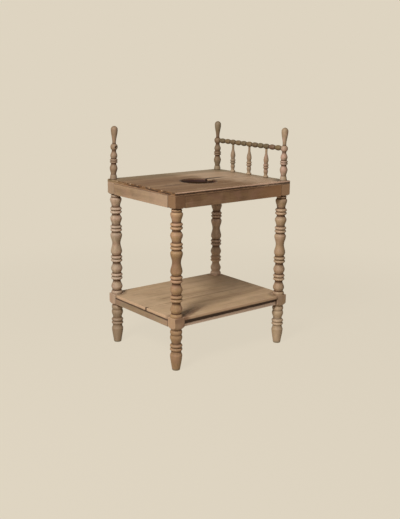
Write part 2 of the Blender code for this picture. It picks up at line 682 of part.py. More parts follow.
def make_gallery(stand, parts, helpers, bores):
    """The beaded rail between the two right posts, and the spindles under it."""
    place = Vector((GALLERY_X, 0, BALL_HEIGHT))
    turn = (math.radians(90), 0, 0)
    rail = turned("gallery_rail", rod_outline(), parts, SPINDLE_STEPS, place, turn)
    for corner in ("front_right", "back_right"):
        boolean(rail, "DIFFERENCE", bpy.data.objects["rail_pin_hole_" + corner])
    as_piece(rail, stand, TURNED_WOOD)
    seat = TOP_HEIGHT + GAP
    head = BALL_HEIGHT - BEAD_RADIUS - GAP
    tenon_top = head + SPINDLE_HEAD_TENON
    tenon_bottom = TOP_HEIGHT - SPINDLE_FOOT_TENON
    points = [(0, tenon_top), (SPINDLE_TENON_RADIUS, tenon_top), (SPINDLE_TENON_RADIUS, head)]
    points += outline(SPINDLE_SHARES, head, head - seat, SPINDLE_RADIUS)
    points += [(SPINDLE_TENON_RADIUS, seat), (SPINDLE_TENON_RADIUS, tenon_bottom), (0, tenon_bottom)]
    for number in range(SPINDLE_COUNT):
        offset = (number - (SPINDLE_COUNT - 1) / 2) * BEADS_PER_SPINDLE * BEAD_PITCH
        spot = (GALLERY_X, offset, 0)
        name = f"gallery_spindle_{number + 1}"
        as_piece(turned(name, points, parts, SPINDLE_STEPS, spot), stand, TURNED_WOOD)
        wide = SPINDLE_TENON_RADIUS + GAP
        upper = (name + "_head_bore", wide, tenon_top + GAP, head - OVERRUN)
        lower = (name + "_foot_bore", wide, seat + OVERRUN, tenon_bottom - GAP)
        boolean(rail, "DIFFERENCE", as_cutter(peg(*upper, helpers, SPINDLE_STEPS, spot)))
        as_cutter(peg(*lower, bores, SPINDLE_STEPS, spot))


def glue_block(name, place, spin, parts):
    """A glue block along its own X axis, in the corner of an apron at its back and the top above it."""
    mesh = bpy.data.meshes.new(name)
    shape = bmesh.new()
    half = GLUE_BLOCK_LENGTH / 2
    fill_box(shape, (-half, 0, -GLUE_BLOCK_SIDE), (half, GLUE_BLOCK_SIDE, 0))
    shape.edges.ensure_lookup_table()
    free = [
        edge
        for edge in shape.edges
        if all(vert.co.y > GLUE_BLOCK_SIDE / 2 and vert.co.z < -GLUE_BLOCK_SIDE / 2 for vert in edge.verts)
    ]
    chamfer = GLUE_BLOCK_SIDE * GLUE_BLOCK_CHAMFER_SHARE
    bmesh.ops.bevel(
        shape, geom=free, offset=chamfer, segments=1, profile=0.5, affect="EDGES", material=-1
    )
    shape.to_mesh(mesh)
    shape.free()
    return add_object(name, mesh, parts, place, (0, 0, spin))


def make_glue_blocks(stand, parts):
    """Blocks that hold the top boards to the aprons from below."""
    inner_x = HALF_X - APRON_THICKNESS - GAP
    inner_y = HALF_Y - APRON_THICKNESS - GAP
    along = LEG_SPACING_X * GLUE_BLOCK_PLACE_SHARE
    spots = {
        "front_left": (-along, -inner_y, 0),
        "front_right": (along, -inner_y, 0),
        "back_left": (-along, inner_y, 180),
        "back_right": (along, inner_y, 180),
        "left": (-inner_x, 0, -90),
        "right": (inner_x, 0, 90),
    }
    for name, (x, y, degrees) in spots.items():
        block = glue_block("glue_block_" + name, (x, y, APRON_TOP), math.radians(degrees), parts)
        as_piece(block, stand, HIDDEN_WOOD)


def main():
    clear_scene()
    parts = new_collection("washstand")
    helpers = new_collection("washstand_cutters", hidden=True)
    mortises = new_collection("leg_mortises", hidden=True)
    bores = new_collection("top_bores", hidden=True)
    notches = new_collection("shelf_notches", hidden=True)
    nail_holes = new_collection("nail_holes", hidden=True)
    stand = bpy.data.objects.new("washstand", None)
    parts.objects.link(stand)
    make_frame(stand, parts, mortises, nail_holes)
    make_posts(stand, parts, helpers, bores, mortises)
    make_gallery(stand, parts, helpers, bores)
    make_legs(stand, parts, helpers, mortises)
    make_top(stand, parts, helpers, bores)
    make_nails(stand, parts, nail_holes)
    make_shelf(stand, parts, nail_holes, notches)
    make_glue_blocks(stand, parts)
    bpy.context.view_layer.update()


main()
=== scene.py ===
"""Finishes a spool-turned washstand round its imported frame: turnings, worn boards, a beaded gallery."""

import math
import random

import bmesh
import bpy
import numpy as np
from bpy.props import FloatProperty, FloatVectorProperty, IntProperty, PointerProperty
from bpy.types import Operator, Panel, PropertyGroup
from mathutils import Euler, Matrix, Vector, noise


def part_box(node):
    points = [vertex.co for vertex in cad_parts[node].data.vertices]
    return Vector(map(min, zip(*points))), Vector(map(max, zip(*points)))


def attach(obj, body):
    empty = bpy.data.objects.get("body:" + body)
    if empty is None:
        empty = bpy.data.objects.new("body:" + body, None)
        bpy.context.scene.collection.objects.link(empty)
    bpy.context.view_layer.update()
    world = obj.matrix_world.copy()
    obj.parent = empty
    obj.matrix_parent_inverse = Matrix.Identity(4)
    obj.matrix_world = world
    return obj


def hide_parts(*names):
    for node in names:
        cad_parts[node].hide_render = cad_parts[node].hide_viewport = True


bl_info = {
    "name": "Spool-turned washstand",
    "version": (1, 0, 0),
    "blender": (4, 5, 0),
    "location": "3D View > Sidebar > Washstand",
    "description": "Makes the turnings, boards, gallery and studio of an old washstand",
    "category": "Object",
}

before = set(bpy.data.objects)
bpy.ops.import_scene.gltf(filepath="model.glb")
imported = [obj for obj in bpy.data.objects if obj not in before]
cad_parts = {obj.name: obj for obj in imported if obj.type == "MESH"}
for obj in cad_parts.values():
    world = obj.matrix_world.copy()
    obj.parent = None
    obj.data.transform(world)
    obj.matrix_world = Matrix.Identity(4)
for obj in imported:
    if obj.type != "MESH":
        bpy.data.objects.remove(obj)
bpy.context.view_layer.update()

# Places read from the frame
TOP_LOW, TOP_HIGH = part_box("top_board_front")
SHELF_LOW, SHELF_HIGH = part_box("shelf_board_front")
APRON_LOW, APRON_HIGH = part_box("apron_front")
RAIL_LOW, RAIL_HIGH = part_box("shelf_rail_front")
SIDE_RAIL_LOW, SIDE_RAIL_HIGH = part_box("shelf_rail_left")
LEG_LOW, LEG_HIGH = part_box("leg_front_right")
POST_LOW, POST_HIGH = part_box("post_front_right")
STUB_LOW, STUB_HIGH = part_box("post_stub_front_left")
HALF_X = TOP_HIGH.x
HALF_Y = -TOP_LOW.y
TOP_HEIGHT = TOP_HIGH.z
TOP_UNDERSIDE = TOP_LOW.z
APRON_TOP = APRON_HIGH.z
APRON_BOTTOM = APRON_LOW.z
SHELF_HEIGHT = SHELF_HIGH.z
SHELF_UNDERSIDE = SHELF_LOW.z
AXIS_X = (LEG_LOW.x + LEG_HIGH.x) / 2
AXIS_Y = -(LEG_LOW.y + LEG_HIGH.y) / 2
BLOCK_SIDE = 2 * (HALF_X - AXIS_X)
GALLERY_X = (POST_LOW.x + POST_HIGH.x) / 2
GALLERY_Y = -(POST_LOW.y + POST_HIGH.y) / 2
LEFT_POST_X = (STUB_LOW.x + STUB_HIGH.x) / 2
LEFT_POST_Y = -(STUB_LOW.y + STUB_HIGH.y) / 2

# Fits
GAP = 0.0003                    # between two pieces that touch
WELD = 0.000002                 # points closer than this are one
CUT_WELD = 0.00002              # and on a cutting plane
CLEAR_X = AXIS_X - BLOCK_SIDE / 2 - GAP
CLEAR_Y = AXIS_Y - BLOCK_SIDE / 2 - GAP
TOP_JOINT_Y = TOP_HIGH.y + GAP / 2
SHELF_JOINT_Y = SHELF_HIGH.y + GAP / 2

# Legs
CORE_SHARE = 0.75
HEAD_SHOULDER = 0.006
SHELF_SHOULDER = 0.009
SHELF_BLOCK_HEIGHT = 0.044
SHELF_BLOCK_BOTTOM = SHELF_HEIGHT - SHELF_BLOCK_HEIGHT
LEG_WAIST_HEIGHT = 0.438        # middle of the long waist, where the front left leg is darker
LEG_DENTS = 16
LEG_DENT_SIZE = 0.005
FOOT_DENT_SIZE = 0.004
LEG_DENT_DEPTH = 0.0005
LEG_DRIFT = 0.0007              # how far a leg's turnings run out of true
LEG_RIPPLE = 0.00025
ARRIS_WEAR = 0.0009             # rounding of a block's upright corners
ARRIS_CUT_SHARE = 0.42          # how much of it the corner loses
ARRIS_RAG = 0.0004              # unevenness of the corner
LATHE_BLEND = 0.0016            # rounding between a block's faces and the lathe's cut
WORN_DEPTH = 0.0022             # a block's stain is rubbed off this far in from its corner
UPPER_ROW_SHARES = (0, 0.12, 0.35, 0.7, 1.1)  # depths of the rows at a block's upper edge, of its wear
BLOCK_STEP = 0.0035             # distance between the rows of a block's faces
SHOULDER_STEP = 0.0009          # and of its lathe-cut shoulder

# Top and shelf
HOLE_RADIUS = 0.0735
HOLE_X = -0.026
HOLE_Y = -0.0285
SPLIT_WIDTH = 0.005
SPLIT_LENGTH = 0.150
SPLIT_MIDDLE_SHARES = (0.5, 0.22)  # a point half way along the split, and how far it opens to each side
TONGUE_REACH = 0.030
TONGUE_WIDTH = 0.040
TONGUE_ROOT = 0.004
TONGUE_JAGS = (                 # share of the way from root to tip, and how far each point stands out
    (0.14, 0.0016), (0.25, -0.0012), (0.38, 0.0022), (0.55, -0.0008), (0.70, 0.0018), (0.86, -0.0012),
)
FRONT_RIM_STEPS = 72
REAR_RIM_STEPS = 60
TOP_WARP = 0.0007               # how far the old boards are bent
SHELF_WARP = 0.0006
WARP_SCALES = (3.5, 8)          # waves to the metre along and across a board
SEAM_NOTCH = 0.006              # chip at the left end of the shelf's seam
SEAM_NOTCH_SHARES = ((1.2, 0.0), (0.5, 0.35), (0.0, 1.0))  # its corners, in from the end and off the seam
END_BAND = 0.009                # finely cut strip along the top's left end
END_MARGIN = 0.002
END_STEPS = (0.0015, 0.0016, 0.0011)  # its cuts inwards, from front to back and in height
EDGE_MARGIN = 0.0016
GRID_MARGINS = (0.020, 0.012)   # in from the ends and from the front and back
SHELF_MARGIN = 0.003
NICKS = 34                      # small nicks in the left end's upper arris, for each board
NICK_DEPTHS = (0.0014, 0.0042)
NICK_LENGTHS = (0.002, 0.010)
NICK_HEIGHTS = (0.0010, 0.0030)
NICK_SHADES = (0.45, 0.1, -0.2, -0.7)  # fresh (1) to dirty (-1) wood
NICK_OUTSET = 0.0002            # their middles lie this far outside the arris
GOUGE_REACH_SHARE = 1.4         # beyond this share of its radii a gouge moves nothing
GOUGE_ROUGHNESS = 0.35
GOUGE_SCALE = 400
GOUGE_CORE = 0.05               # points nearer to its middle than this share of its radii stay inside it

# Tenons
TENON_THICKNESS_SHARE = 0.42
TENON_HEIGHT_SHARE = 0.72
APRON_TENON_LENGTH = 0.018
RAIL_TENON_LENGTH = 0.017
BOARD_CUTS = (0.004, 0.010)     # margin and step of the cuts along an apron or rail
BOARD_HEIGHT_CUTS = (0.003, 0.006)
BOARD_UNEVENNESS = 0.00025
BOARD_WAVES = (9, 30)           # waves to the metre along and across the board
BOARD_WAVE_SHIFT = 9            # where the waves in its height are read, over those in its thickness

# Gallery
POST_HEIGHT = 0.218
BALL_RISE = 0.1325
BALL_HALF_HEIGHT = 0.0128
POST_TENON_RADIUS = 0.0075
POST_TENON_LENGTH = 0.034
POST_LEAN = math.radians(1.8)   # the left post has worked loose
POST_LEAN_TURN = math.radians(-38)
POST_DRIFT = 0.0005
POST_RIPPLE = 0.0002
POST_DENTS = 6
POST_DENT_SIZE = 0.004
POST_DENT_DEPTH = 0.0004
POST_DENT_MARGINS = (0.01, 0.02)
BEAD_COUNT = 11
BEAD_NECK_SHARE = 0.48
BEAD_GROOVE = 0.0012
RAIL_END_NECK = 0.003
ROD_DRIFT = 0.0005
ROD_RIPPLE = 0.00018
ROD_STEPS = 60
ROD_SOIL_SHARE = 0.7
ROD_TENON_RADIUS = 0.0048
ROD_TENON_LENGTH = 0.011
SPINDLE_COUNT = 3
BEADS_PER_SPINDLE = 3
SPINDLE_TENON_RADIUS = 0.0038
SPINDLE_FOOT_TENON = 0.010
SPINDLE_HEAD_TENON = 0.007
SPINDLE_DRIFT = 0.0004
SPINDLE_RIPPLE = 0.00015
SPINDLE_STEPS = 54
SPINDLE_SOIL_SHARE = 0.6
SPINDLE_SEAT = 0.002            # the stretch over the top that stays true
PIN_RADIUS = 0.0014
PIN_BITE_SHARE = 0.45
PIN_HEAD_RISE = 0.0003
PIN_HEAD_EASE = 0.0005
PIN_HEAD_CROWN = 0.0001
PIN_STEPS = 24
SOCKET_STEPS = 36
CHIP_SIDE = 0.012
CHIP_CUTS = 9
CHIP_ROUGHNESS = 0.0011
CHIP_SCALE = 420
CHIP_PLACE_SHARES = (0.75, -0.90, 0.10)
CHIP_TURN = (0.5, 0.4, 0.6)
STUB_RISE = 0.0004              # the broken tenon stands this far over the top
STUB_BREAK = 0.0006
STUB_BREAK_SCALE = 500
STUB_RING_SHARES = (0.25, 0.5, 0.75, 0.93)
STUB_STEPS = 36
BALL_HEIGHT = TOP_HEIGHT + BALL_RISE

# Glue blocks and nails
GLUE_BLOCK_CHAMFER_SHARE = 0.6
GLUE_BLOCK_EASE = 0.0007
GLUE_BLOCK_CUTS = (0.002, 0.004)
GLUE_BLOCK_UNEVENNESS = 0.0002
GLUE_BLOCK_SCALE = 90
NAIL_HEAD_RADIUS = 0.0023
NAIL_HEAD_THICKNESS = 0.0012
NAIL_CROWN = 0.0001
NAIL_HEAD_EDGE = 0.0004
NAIL_RADIUS = 0.0012
NAIL_LENGTH = 0.032
NAIL_STEPS = 20
NAIL_UNEVENNESS = 0.0002
NAIL_SCALE = 700

# Turned outlines from the top down: a place as a share of the stretch, a radius as a share of the widest
# one, the form that leads there from the row above, and the crest of a bead or ball.
LEG_STRETCH_SHARES = (
    (0.010, 0.75, "line"), (0.027, 0.79, "bead", 0.88), (0.052, 1.00, "rise"), (0.122, 0.73, "ease"),
    (0.130, 0.76, "line"), (0.162, 0.76, "bead", 1.00), (0.194, 0.74, "bead", 1.00), (0.200, 0.69, "line"),
    (0.241, 1.00, "rise"), (0.300, 0.74, "ease"), (0.309, 0.76, "line"), (0.341, 0.76, "bead", 1.00),
    (0.373, 0.76, "bead", 1.00), (0.405, 1.00, "rise"), (0.490, 0.71, "ease"), (0.574, 0.97, "ease"),
    (0.611, 0.76, "rise"), (0.645, 0.76, "bead", 1.00), (0.677, 0.74, "bead", 1.00), (0.685, 0.69, "line"),
    (0.743, 0.99, "rise"), (0.790, 0.76, "rise"), (0.824, 0.76, "bead", 1.00), (0.856, 0.74, "bead", 1.00),
    (0.865, 0.67, "line"), (0.927, 0.98, "ease"), (0.964, 0.78, "rise"), (1.006, 0.88, "bead", 1.00),
)
FOOT_SHARES = (
    (-0.020, 0.86, "line"), (0.045, 0.86, "line"), (0.147, 0.88, "bead", 0.98), (0.218, 1.00, "rise"),
    (0.362, 0.75, "ease"), (0.374, 0.79, "line"), (0.457, 0.78, "bead", 1.02), (0.540, 0.79, "bead", 1.02),
    (0.572, 0.84, "line"), (0.651, 1.00, "rise"), (0.730, 0.95, "line"), (0.985, 0.66, "line"),
    (1.000, 0.61, "line"),
)
SPINDLE_SHARES = (
    (0.000, 0.42, "line"), (0.115, 0.42, "line"), (0.393, 0.92, "ease"), (0.510, 0.70, "ease"),
    (0.522, 0.76, "line"), (0.606, 0.76, "bead", 1.00), (0.690, 0.74, "bead", 1.00), (0.705, 0.68, "line"),
    (0.785, 0.83, "ease"), (0.900, 0.62, "ease"), (0.925, 0.68, "line"), (1.000, 0.90, "bead", 0.98),
)
FINIAL_SHARES = ((0.000, 0.00, "line"), (0.200, 0.86, "cap"), (0.930, 0.46, "ease"), (1.000, 0.47, "line"))
POST_STEM_SHARES = (
    (0.000, 0.55, "line"), (0.030, 0.54, "line"), (0.200, 0.88, "ease"), (0.300, 0.72, "ease"),
    (0.310, 0.76, "line"), (0.380, 0.75, "bead", 0.99), (0.450, 0.75, "bead", 0.99), (0.465, 0.66, "line"),
    (0.630, 0.98, "ease"), (0.840, 0.67, "ease"), (0.860, 0.76, "line"), (0.925, 0.85, "rise"),
    (1.000, 0.92, "line"),
)
FORM_STEPS = {"ease": 12, "rise": 9, "bead": 10, "ball": 18, "cap": 14}
LINE_STEP = 0.003               # longest straight piece of an outline

# How a turning's relief is read: the reach of its mean level, the depth that counts as full, and its share
BEAD_RELIEF = (0.005, 0.0016)
WAIST_RELIEF = (0.030, 0.0040)
WAIST_RELIEF_SHARE = 0.22

# Unevenness of a turning, in waves to the metre
DRIFT_SCALE = 11
RIPPLE_SCALES = (45, 30)        # across and along the axis
SLIP_SCALE = 23
DRIFT_SHARE = 0.6
DENT_SPREAD = (0.5, 1.2)        # least and greatest reach of a dent, as shares of its size

# The lathe's cut at the lower corners of a block: height over the block's lower end as a share of the
# shoulder, and radius as a share of the block's side.
SHOULDER_HEIGHT_SHARES = (0.00, 0.50, 1.70)
SHOULDER_RADIUS_SHARES = (0.53, 0.64, 1.00)

# Left end of the top: place from front to back, height over the underside, half length, half height and
# depth of each cavity, and whether it shows fresh (1) or dirty (-1) wood.
END_CHIPS = (
    (0.200, 0.0035, 0.012, 0.0022, 0.0020, 1.0),
    (0.164, 0.0045, 0.010, 0.0020, 0.0016, 1.0),
    (0.130, 0.0040, 0.009, 0.0022, 0.0018, 1.0),
    (0.027, 0.0085, 0.027, 0.0012, 0.0026, -1.0),
    (-0.038, 0.0055, 0.004, 0.0026, 0.0022, 1.0),
    (-0.092, 0.0035, 0.029, 0.0020, 0.0050, -1.0),
    (-0.139, 0.0040, 0.006, 0.0040, 0.0022, 1.0),
    (-0.190, 0.0020, 0.014, 0.0018, 0.0035, -1.0),
)

# Where the left end of the top is torn open: middle and half length from front to back
TORN_STRETCHES = ((0.040, 0.050), (-0.083, 0.050), (-0.180, 0.036))

# Dark streaks in the top: place, half length along the grain and half width
TOP_STREAKS = (
    (-0.184, -0.062, 0.070, 0.022),
    (-0.243, -0.114, 0.030, 0.005),
    (-0.247, -0.172, 0.024, 0.004),
    (-0.140, -0.184, 0.036, 0.004),
    (-0.041, 0.162, 0.050, 0.005),
    (0.060, -0.090, 0.060, 0.004),
    (0.150, -0.130, 0.050, 0.005),
)

# The same for the shelf
SHELF_STREAKS = (
    (-0.104, 0.132, 0.055, 0.0025),
    (-0.168, 0.050, 0.024, 0.0025),
    (-0.010, -0.010, 0.100, 0.0025),
    (-0.158, 0.027, 0.038, 0.0025),
)
PAINTED_SHADOW_START = (-0.263, -0.235)  # painted shadow of the front left leg on the shelf, and its way
PAINTED_SHADOW_WAY = (0.905, 0.424)

# Patterns in the wood, in clouds to the metre along and across the grain
STREAK_SCALES = (2.2, 34)
FIBRE_SCALES = (9, 330)
PORE_SCALES = (45, 1100)
RING_BEND_SCALES = (1.4, 7)
RING_SPACING = 420              # radians of a ring's wave to the metre
RING_BEND = 24
CLOUD_SCALE = 13
BLOT_SCALE = 42
RUST_SCALE = 600
TINT_SCALES = (17, 5, 24)       # of the first tint, what each further one adds, and that of its height
WOOD_BUMP = (0.5, 0.0004)       # strength, and the height in metres that a step from 0 to 1 stands for
IRON_BUMP = (0.6, 0.0002)

WOOD_SPECULAR = 0.25
SHARP_ANGLE = 38                # degrees from which an edge is drawn sharp

# Where each set's wood is read in its pattern: for the first piece, and what each further piece adds
GRAIN_PLACES = {
    "leg": ((0.0, 0.0, 0.0), (1.7, 0.9, 0.61)),
    "apron": ((0.0, 0.0, 0.13), (2.1, 0.7, 0.0)),
    "top": ((0.0, 0.0, 0.0), (0.37, 1.9, 0.0)),
    "shelf": ((0.0, 0.0, 0.3), (0.53, 2.3, 0.0)),
    "rail": ((0.0, 0.0, 0.9), (1.3, 0.4, 0.0)),
    "post": ((0.0, 0.0, 0.0), (2.3, 1.1, 0.4)),
    "stub": ((5.0, 0.4, 0.0), (0.0, 0.0, 0.0)),
    "beads": ((0.2, 0.7, 3.0), (0.0, 0.0, 0.0)),
    "spindle": ((0.0, 3.3, 0.0), (1.1, 0.0, 0.7)),
    "pin": ((8.0, 0.0, 0.0), (0.0, 0.0, 0.0)),
    "glue_block": ((0.0, 0.0, 0.2), (0.8, 1.9, 0.0)),
}

# Start of each set's draws and waves, and what each further piece adds
SEEDS = {
    "leg": (3.7, 5),
    "apron": (5, 1),
    "top_end": (11, 1),
    "top_warp": (2.5, 1),
    "shelf_warp": (7.5, 1),
    "rail": (25, 1),
    "post": (31, 7),
    "post_dents": (40, 1),
    "beads": (71, 0),
    "spindle": (81, 3),
}

# The stage
FLOOR_RADIUS = 9
FLOOR_DROP = 0.0002             # the floor lies this far below the feet
FLOOR_GLOW = 0.94               # how much of the floor near the stand shows the backdrop's own colour
FLOOR_FADE = (0.6, 5.0)         # squares of the distances between which that share grows to the whole
LAMP_WAY = (-0.905, -0.425, 0.80)
LAMP_DISTANCE = 3.6
LAMP_TARGET = (0, 0, 0.45)
LAMP_COLOUR = (1.0, 0.98, 0.95)
FILL_COLOUR = (1.0, 0.97, 0.93, 1.0)

# The camera
CAMERA_PLACE = (-2.0954, -2.6478, 1.1879)
CAMERA_YAW = -0.6719
CAMERA_PITCH = 0.2381
CAMERA_ROLL = 0.0106
CAMERA_FOCUS = 813.8            # in pixels of a picture 519 high
PICTURE_HEIGHT = 519
SENSOR = 36.0

CORNERS = {
    "front_left": (-1, -1),
    "front_right": (1, -1),
    "back_left": (-1, 1),
    "back_right": (1, 1),
}


def paint(red, green, blue):
    """A colour as a picture shows it, from 0 to 255, on the light's own scale."""
    shares = [part / 255 for part in (red, green, blue)]
    return tuple(part / 12.92 if part < 0.04045 else ((part + 0.055) / 1.055) ** 2.4 for part in shares)


def seed_of(kind, number=0):
    """The seed of one piece of a set."""
    first, further = SEEDS[kind]
    return first + further * number


def grain_place(kind, number=0):
    """Where one piece's wood is read in its pattern, so that no two pieces look alike."""
    return tuple(first + further * number for first, further in zip(*GRAIN_PLACES[kind]))


class TurningSettings(PropertyGroup):
    """Sizes and colours of the turned pieces."""

    leg_radius: FloatProperty(
        name="Leg radius", description="Widest turning of a leg", default=0.0245, unit="LENGTH"
    )
    post_radius: FloatProperty(
        name="Post radius", description="Widest turning of a gallery post", default=0.0165, unit="LENGTH"
    )
    ball_radius: FloatProperty(
        name="Ball radius", description="Ball of a post, which holds the rail", default=0.0150,
        unit="LENGTH",
    )
    bead_radius: FloatProperty(
        name="Bead radius", description="Beads of the gallery rail", default=0.0112, unit="LENGTH"
    )
    spindle_radius: FloatProperty(
        name="Spindle radius", description="Widest turning of a spindle", default=0.0116, unit="LENGTH"
    )
    leg_steps: IntProperty(name="Leg steps", description="Faces round a leg", default=96, min=24)
    post_steps: IntProperty(name="Post steps", description="Faces round a post", default=72, min=24)
    wood: FloatVectorProperty(
        name="Wood", description="Stained wood of the turnings", default=paint(152, 122, 92),
        subtype="COLOR",
    )
    worn: FloatVectorProperty(
        name="Worn", description="Crests where the stain is rubbed off", default=paint(194, 161, 136),
        subtype="COLOR",
    )
    dirt: FloatVectorProperty(
        name="Dirt", description="Old polish in the grooves", default=paint(80, 53, 36), subtype="COLOR"
    )


class BoardSettings(PropertyGroup):
    """Sizes and colours of the boards."""

    top_ease: FloatProperty(
        name="Top edge", description="Rounding of the top's edges", default=0.0013, unit="LENGTH"
    )
    shelf_ease: FloatProperty(
        name="Shelf edge", description="Rounding of the shelf's edges", default=0.0012, unit="LENGTH"
    )
    rail_ease: FloatProperty(
        name="Rail edge", description="Rounding of aprons and rails", default=0.0009, unit="LENGTH"
    )
    grid: FloatProperty(
        name="Grid", description="Spacing of the points in a board's face", default=0.014, unit="LENGTH"
    )
    top_wood: FloatVectorProperty(
        name="Top", description="Dark boards of the top", default=paint(146, 113, 79), subtype="COLOR"
    )
    apron_wood: FloatVectorProperty(
        name="Aprons", description="Stained aprons", default=paint(154, 127, 101), subtype="COLOR"
    )
    shelf_wood: FloatVectorProperty(
        name="Shelf", description="Dry boards of the shelf", default=paint(196, 166, 131), subtype="COLOR"
    )
    bare_wood: FloatVectorProperty(
        name="Bare wood", description="Wood that was never stained", default=paint(178, 152, 118),
        subtype="COLOR",
    )


class StageSettings(PropertyGroup):
    """Floor, backdrop and light."""

    backdrop: FloatVectorProperty(
        name="Backdrop", description="Colour behind and under the stand", default=paint(222, 212, 193),
        subtype="COLOR",
    )
    key_power: FloatProperty(
        name="Key light", description="Power of the soft lamp", default=127.0, unit="POWER"
    )
    key_size: FloatProperty(
        name="Lamp size", description="Side of the soft lamp", default=1.0, unit="LENGTH"
    )
    fill: FloatProperty(name="Fill", description="Strength of the light from all round", default=0.12)


class Value:
    """A socket of a material's nodes, on which sums are written as in Python."""

    def __init__(self, tree, socket=None):
        self.tree = tree
        self.socket = socket

    def node(self, kind, settings=None, inputs=None, output=0):
        """Adds a node, makes its settings, fills its sockets and gives one of its outputs."""
        made = self.tree.nodes.new(kind)
        for name, setting in (settings or {}).items():
            setattr(made, name, setting)
        for key, value in (inputs or {}).items():
            if isinstance(value, Value):
                self.tree.links.new(value.socket, made.inputs[key])
            else:
                made.inputs[key].default_value = value
        return Value(self.tree, made.outputs[output])

    def sum(self, operation, first, second=0.0):
        return self.node("ShaderNodeMath", {"operation": operation}, {0: first, 1: second})

    def __add__(self, other):
        return self.sum("ADD", self, other)

    def __radd__(self, other):
        return self.sum("ADD", other, self)

    def __sub__(self, other):
        return self.sum("SUBTRACT", self, other)

    def __rsub__(self, other):
        return self.sum("SUBTRACT", other, self)

    def __mul__(self, other):
        return self.sum("MULTIPLY", self, other)

    def __rmul__(self, other):
        return self.sum("MULTIPLY", other, self)

    def __truediv__(self, other):
        return self.sum("DIVIDE", self, other)

    def __pow__(self, other):
        return self.sum("POWER", self, other)

    def __abs__(self):
        return self.sum("ABSOLUTE", self)

    def sine(self):
        return self.sum("SINE", self)

    def ramp(self, low, high):
        """Rises smoothly from 0 at low to 1 at high, or falls where high is the lower."""
        return self.node(
            "ShaderNodeMapRange",
            {"interpolation_type": "SMOOTHSTEP"},
            {"Value": self, "From Min": low, "From Max": high},
        )

    def noise(self, scale, detail=3.0, rough=0.55, bend=0.0):
        """Clouds at a scale for each axis, in clouds to the metre."""
        stretched = self.node(
            "ShaderNodeVectorMath", {"operation": "MULTIPLY"}, {0: self, 1: scale}
        )
        return self.node(
            "ShaderNodeTexNoise",
            None,
            {"Vector": stretched, "Scale": 1.0, "Detail": detail, "Roughness": rough, "Distortion": bend},
        )

    def blend(self, first, second, way="MIX"):
        """Mixes two colours, with this value as the share of the second."""
        first = (*first, 1.0) if isinstance(first, tuple) else first
        second = (*second, 1.0) if isinstance(second, tuple) else second
        return self.node(
            "ShaderNodeMix", {"data_type": "RGBA", "blend_type": way}, {0: self, 6: first, 7: second}, 2
        )

    def parts(self):
        """The three parts of a place."""
        return [self.node("ShaderNodeSeparateXYZ", None, {"Vector": self}, part) for part in range(3)]


def scaled(colour, factor):
    """A lighter or darker colour, by one factor or by one for each of its parts."""
    factors = factor if isinstance(factor, tuple) else (factor,) * 3
    return tuple(min(part * share, 1.0) for part, share in zip(colour, factors))


def toward(colour, other, share):
    """A colour part of the way to another."""
    return tuple(one + (two - one) * share for one, two in zip(colour, other))


def stretch(grain, along, across):
    """Scales for a pattern that runs along the grain."""
    return tuple(along if axis == grain else across for axis in "XYZ")


ROSE = paint(166, 126, 110)
OLIVE = paint(124, 116, 86)
HONEY = paint(170, 142, 98)
ASH = paint(148, 136, 118)

# Rubbed wood and old dirt of the pieces that have colours of their own
TOP_WEAR = (paint(190, 158, 128), paint(66, 44, 30))
APRON_WEAR = (paint(192, 158, 128), paint(62, 42, 30))
SHELF_WEAR = (paint(196, 166, 132), paint(80, 58, 42))
RAIL_WEAR = (paint(190, 158, 130), paint(70, 48, 36))
GLUE_BLOCK_WEAR = (paint(200, 176, 142), paint(96, 74, 54))
STUB_WOOD = (paint(120, 92, 68), paint(176, 148, 118))
PIN_WOOD = (paint(92, 64, 46), paint(120, 88, 62))

# Tones, as shares of a setting's colour
# Painted shade: the front apron is darker than the others, as its face is turned from the lamp.
FRONT_APRON_SHADE_TONE = (0.61, 0.50, 0.42)
LONG_RAIL_TONE = 0.72
SIDE_RAIL_TONE = 0.60
BEADS_TONE = (0.43, 0.46, 0.44)
SPINDLE_TONE = (1.08, 1.20, 1.36)
SPINDLE_TINTS = (((ROSE, 0.45), (HONEY, 0.2)), ((HONEY, 0.3), (ASH, 0.3)), ((OLIVE, 0.4), (ASH, 0.3)))


def blank_material(name):
    """A new material, a value of its nodes, and the place on the object that its patterns read."""
    material = bpy.data.materials.new(name)
    material.use_nodes = True
    start = Value(material.node_tree)
    return material, start, start.node("ShaderNodeTexCoord", output=3)


def drive_shader(material, surface, height, bump):
    """Links values to the shader's sockets, and a height to its normals."""
    strength, distance = bump
    shader = material.node_tree.nodes["Principled BSDF"]
    inputs = {"Strength": strength, "Distance": distance, "Height": height}
    surface["Normal"] = height.node("ShaderNodeBump", None, inputs)
    for socket, value in surface.items():
        material.node_tree.links.new(value.socket, shader.inputs[socket])
    return shader


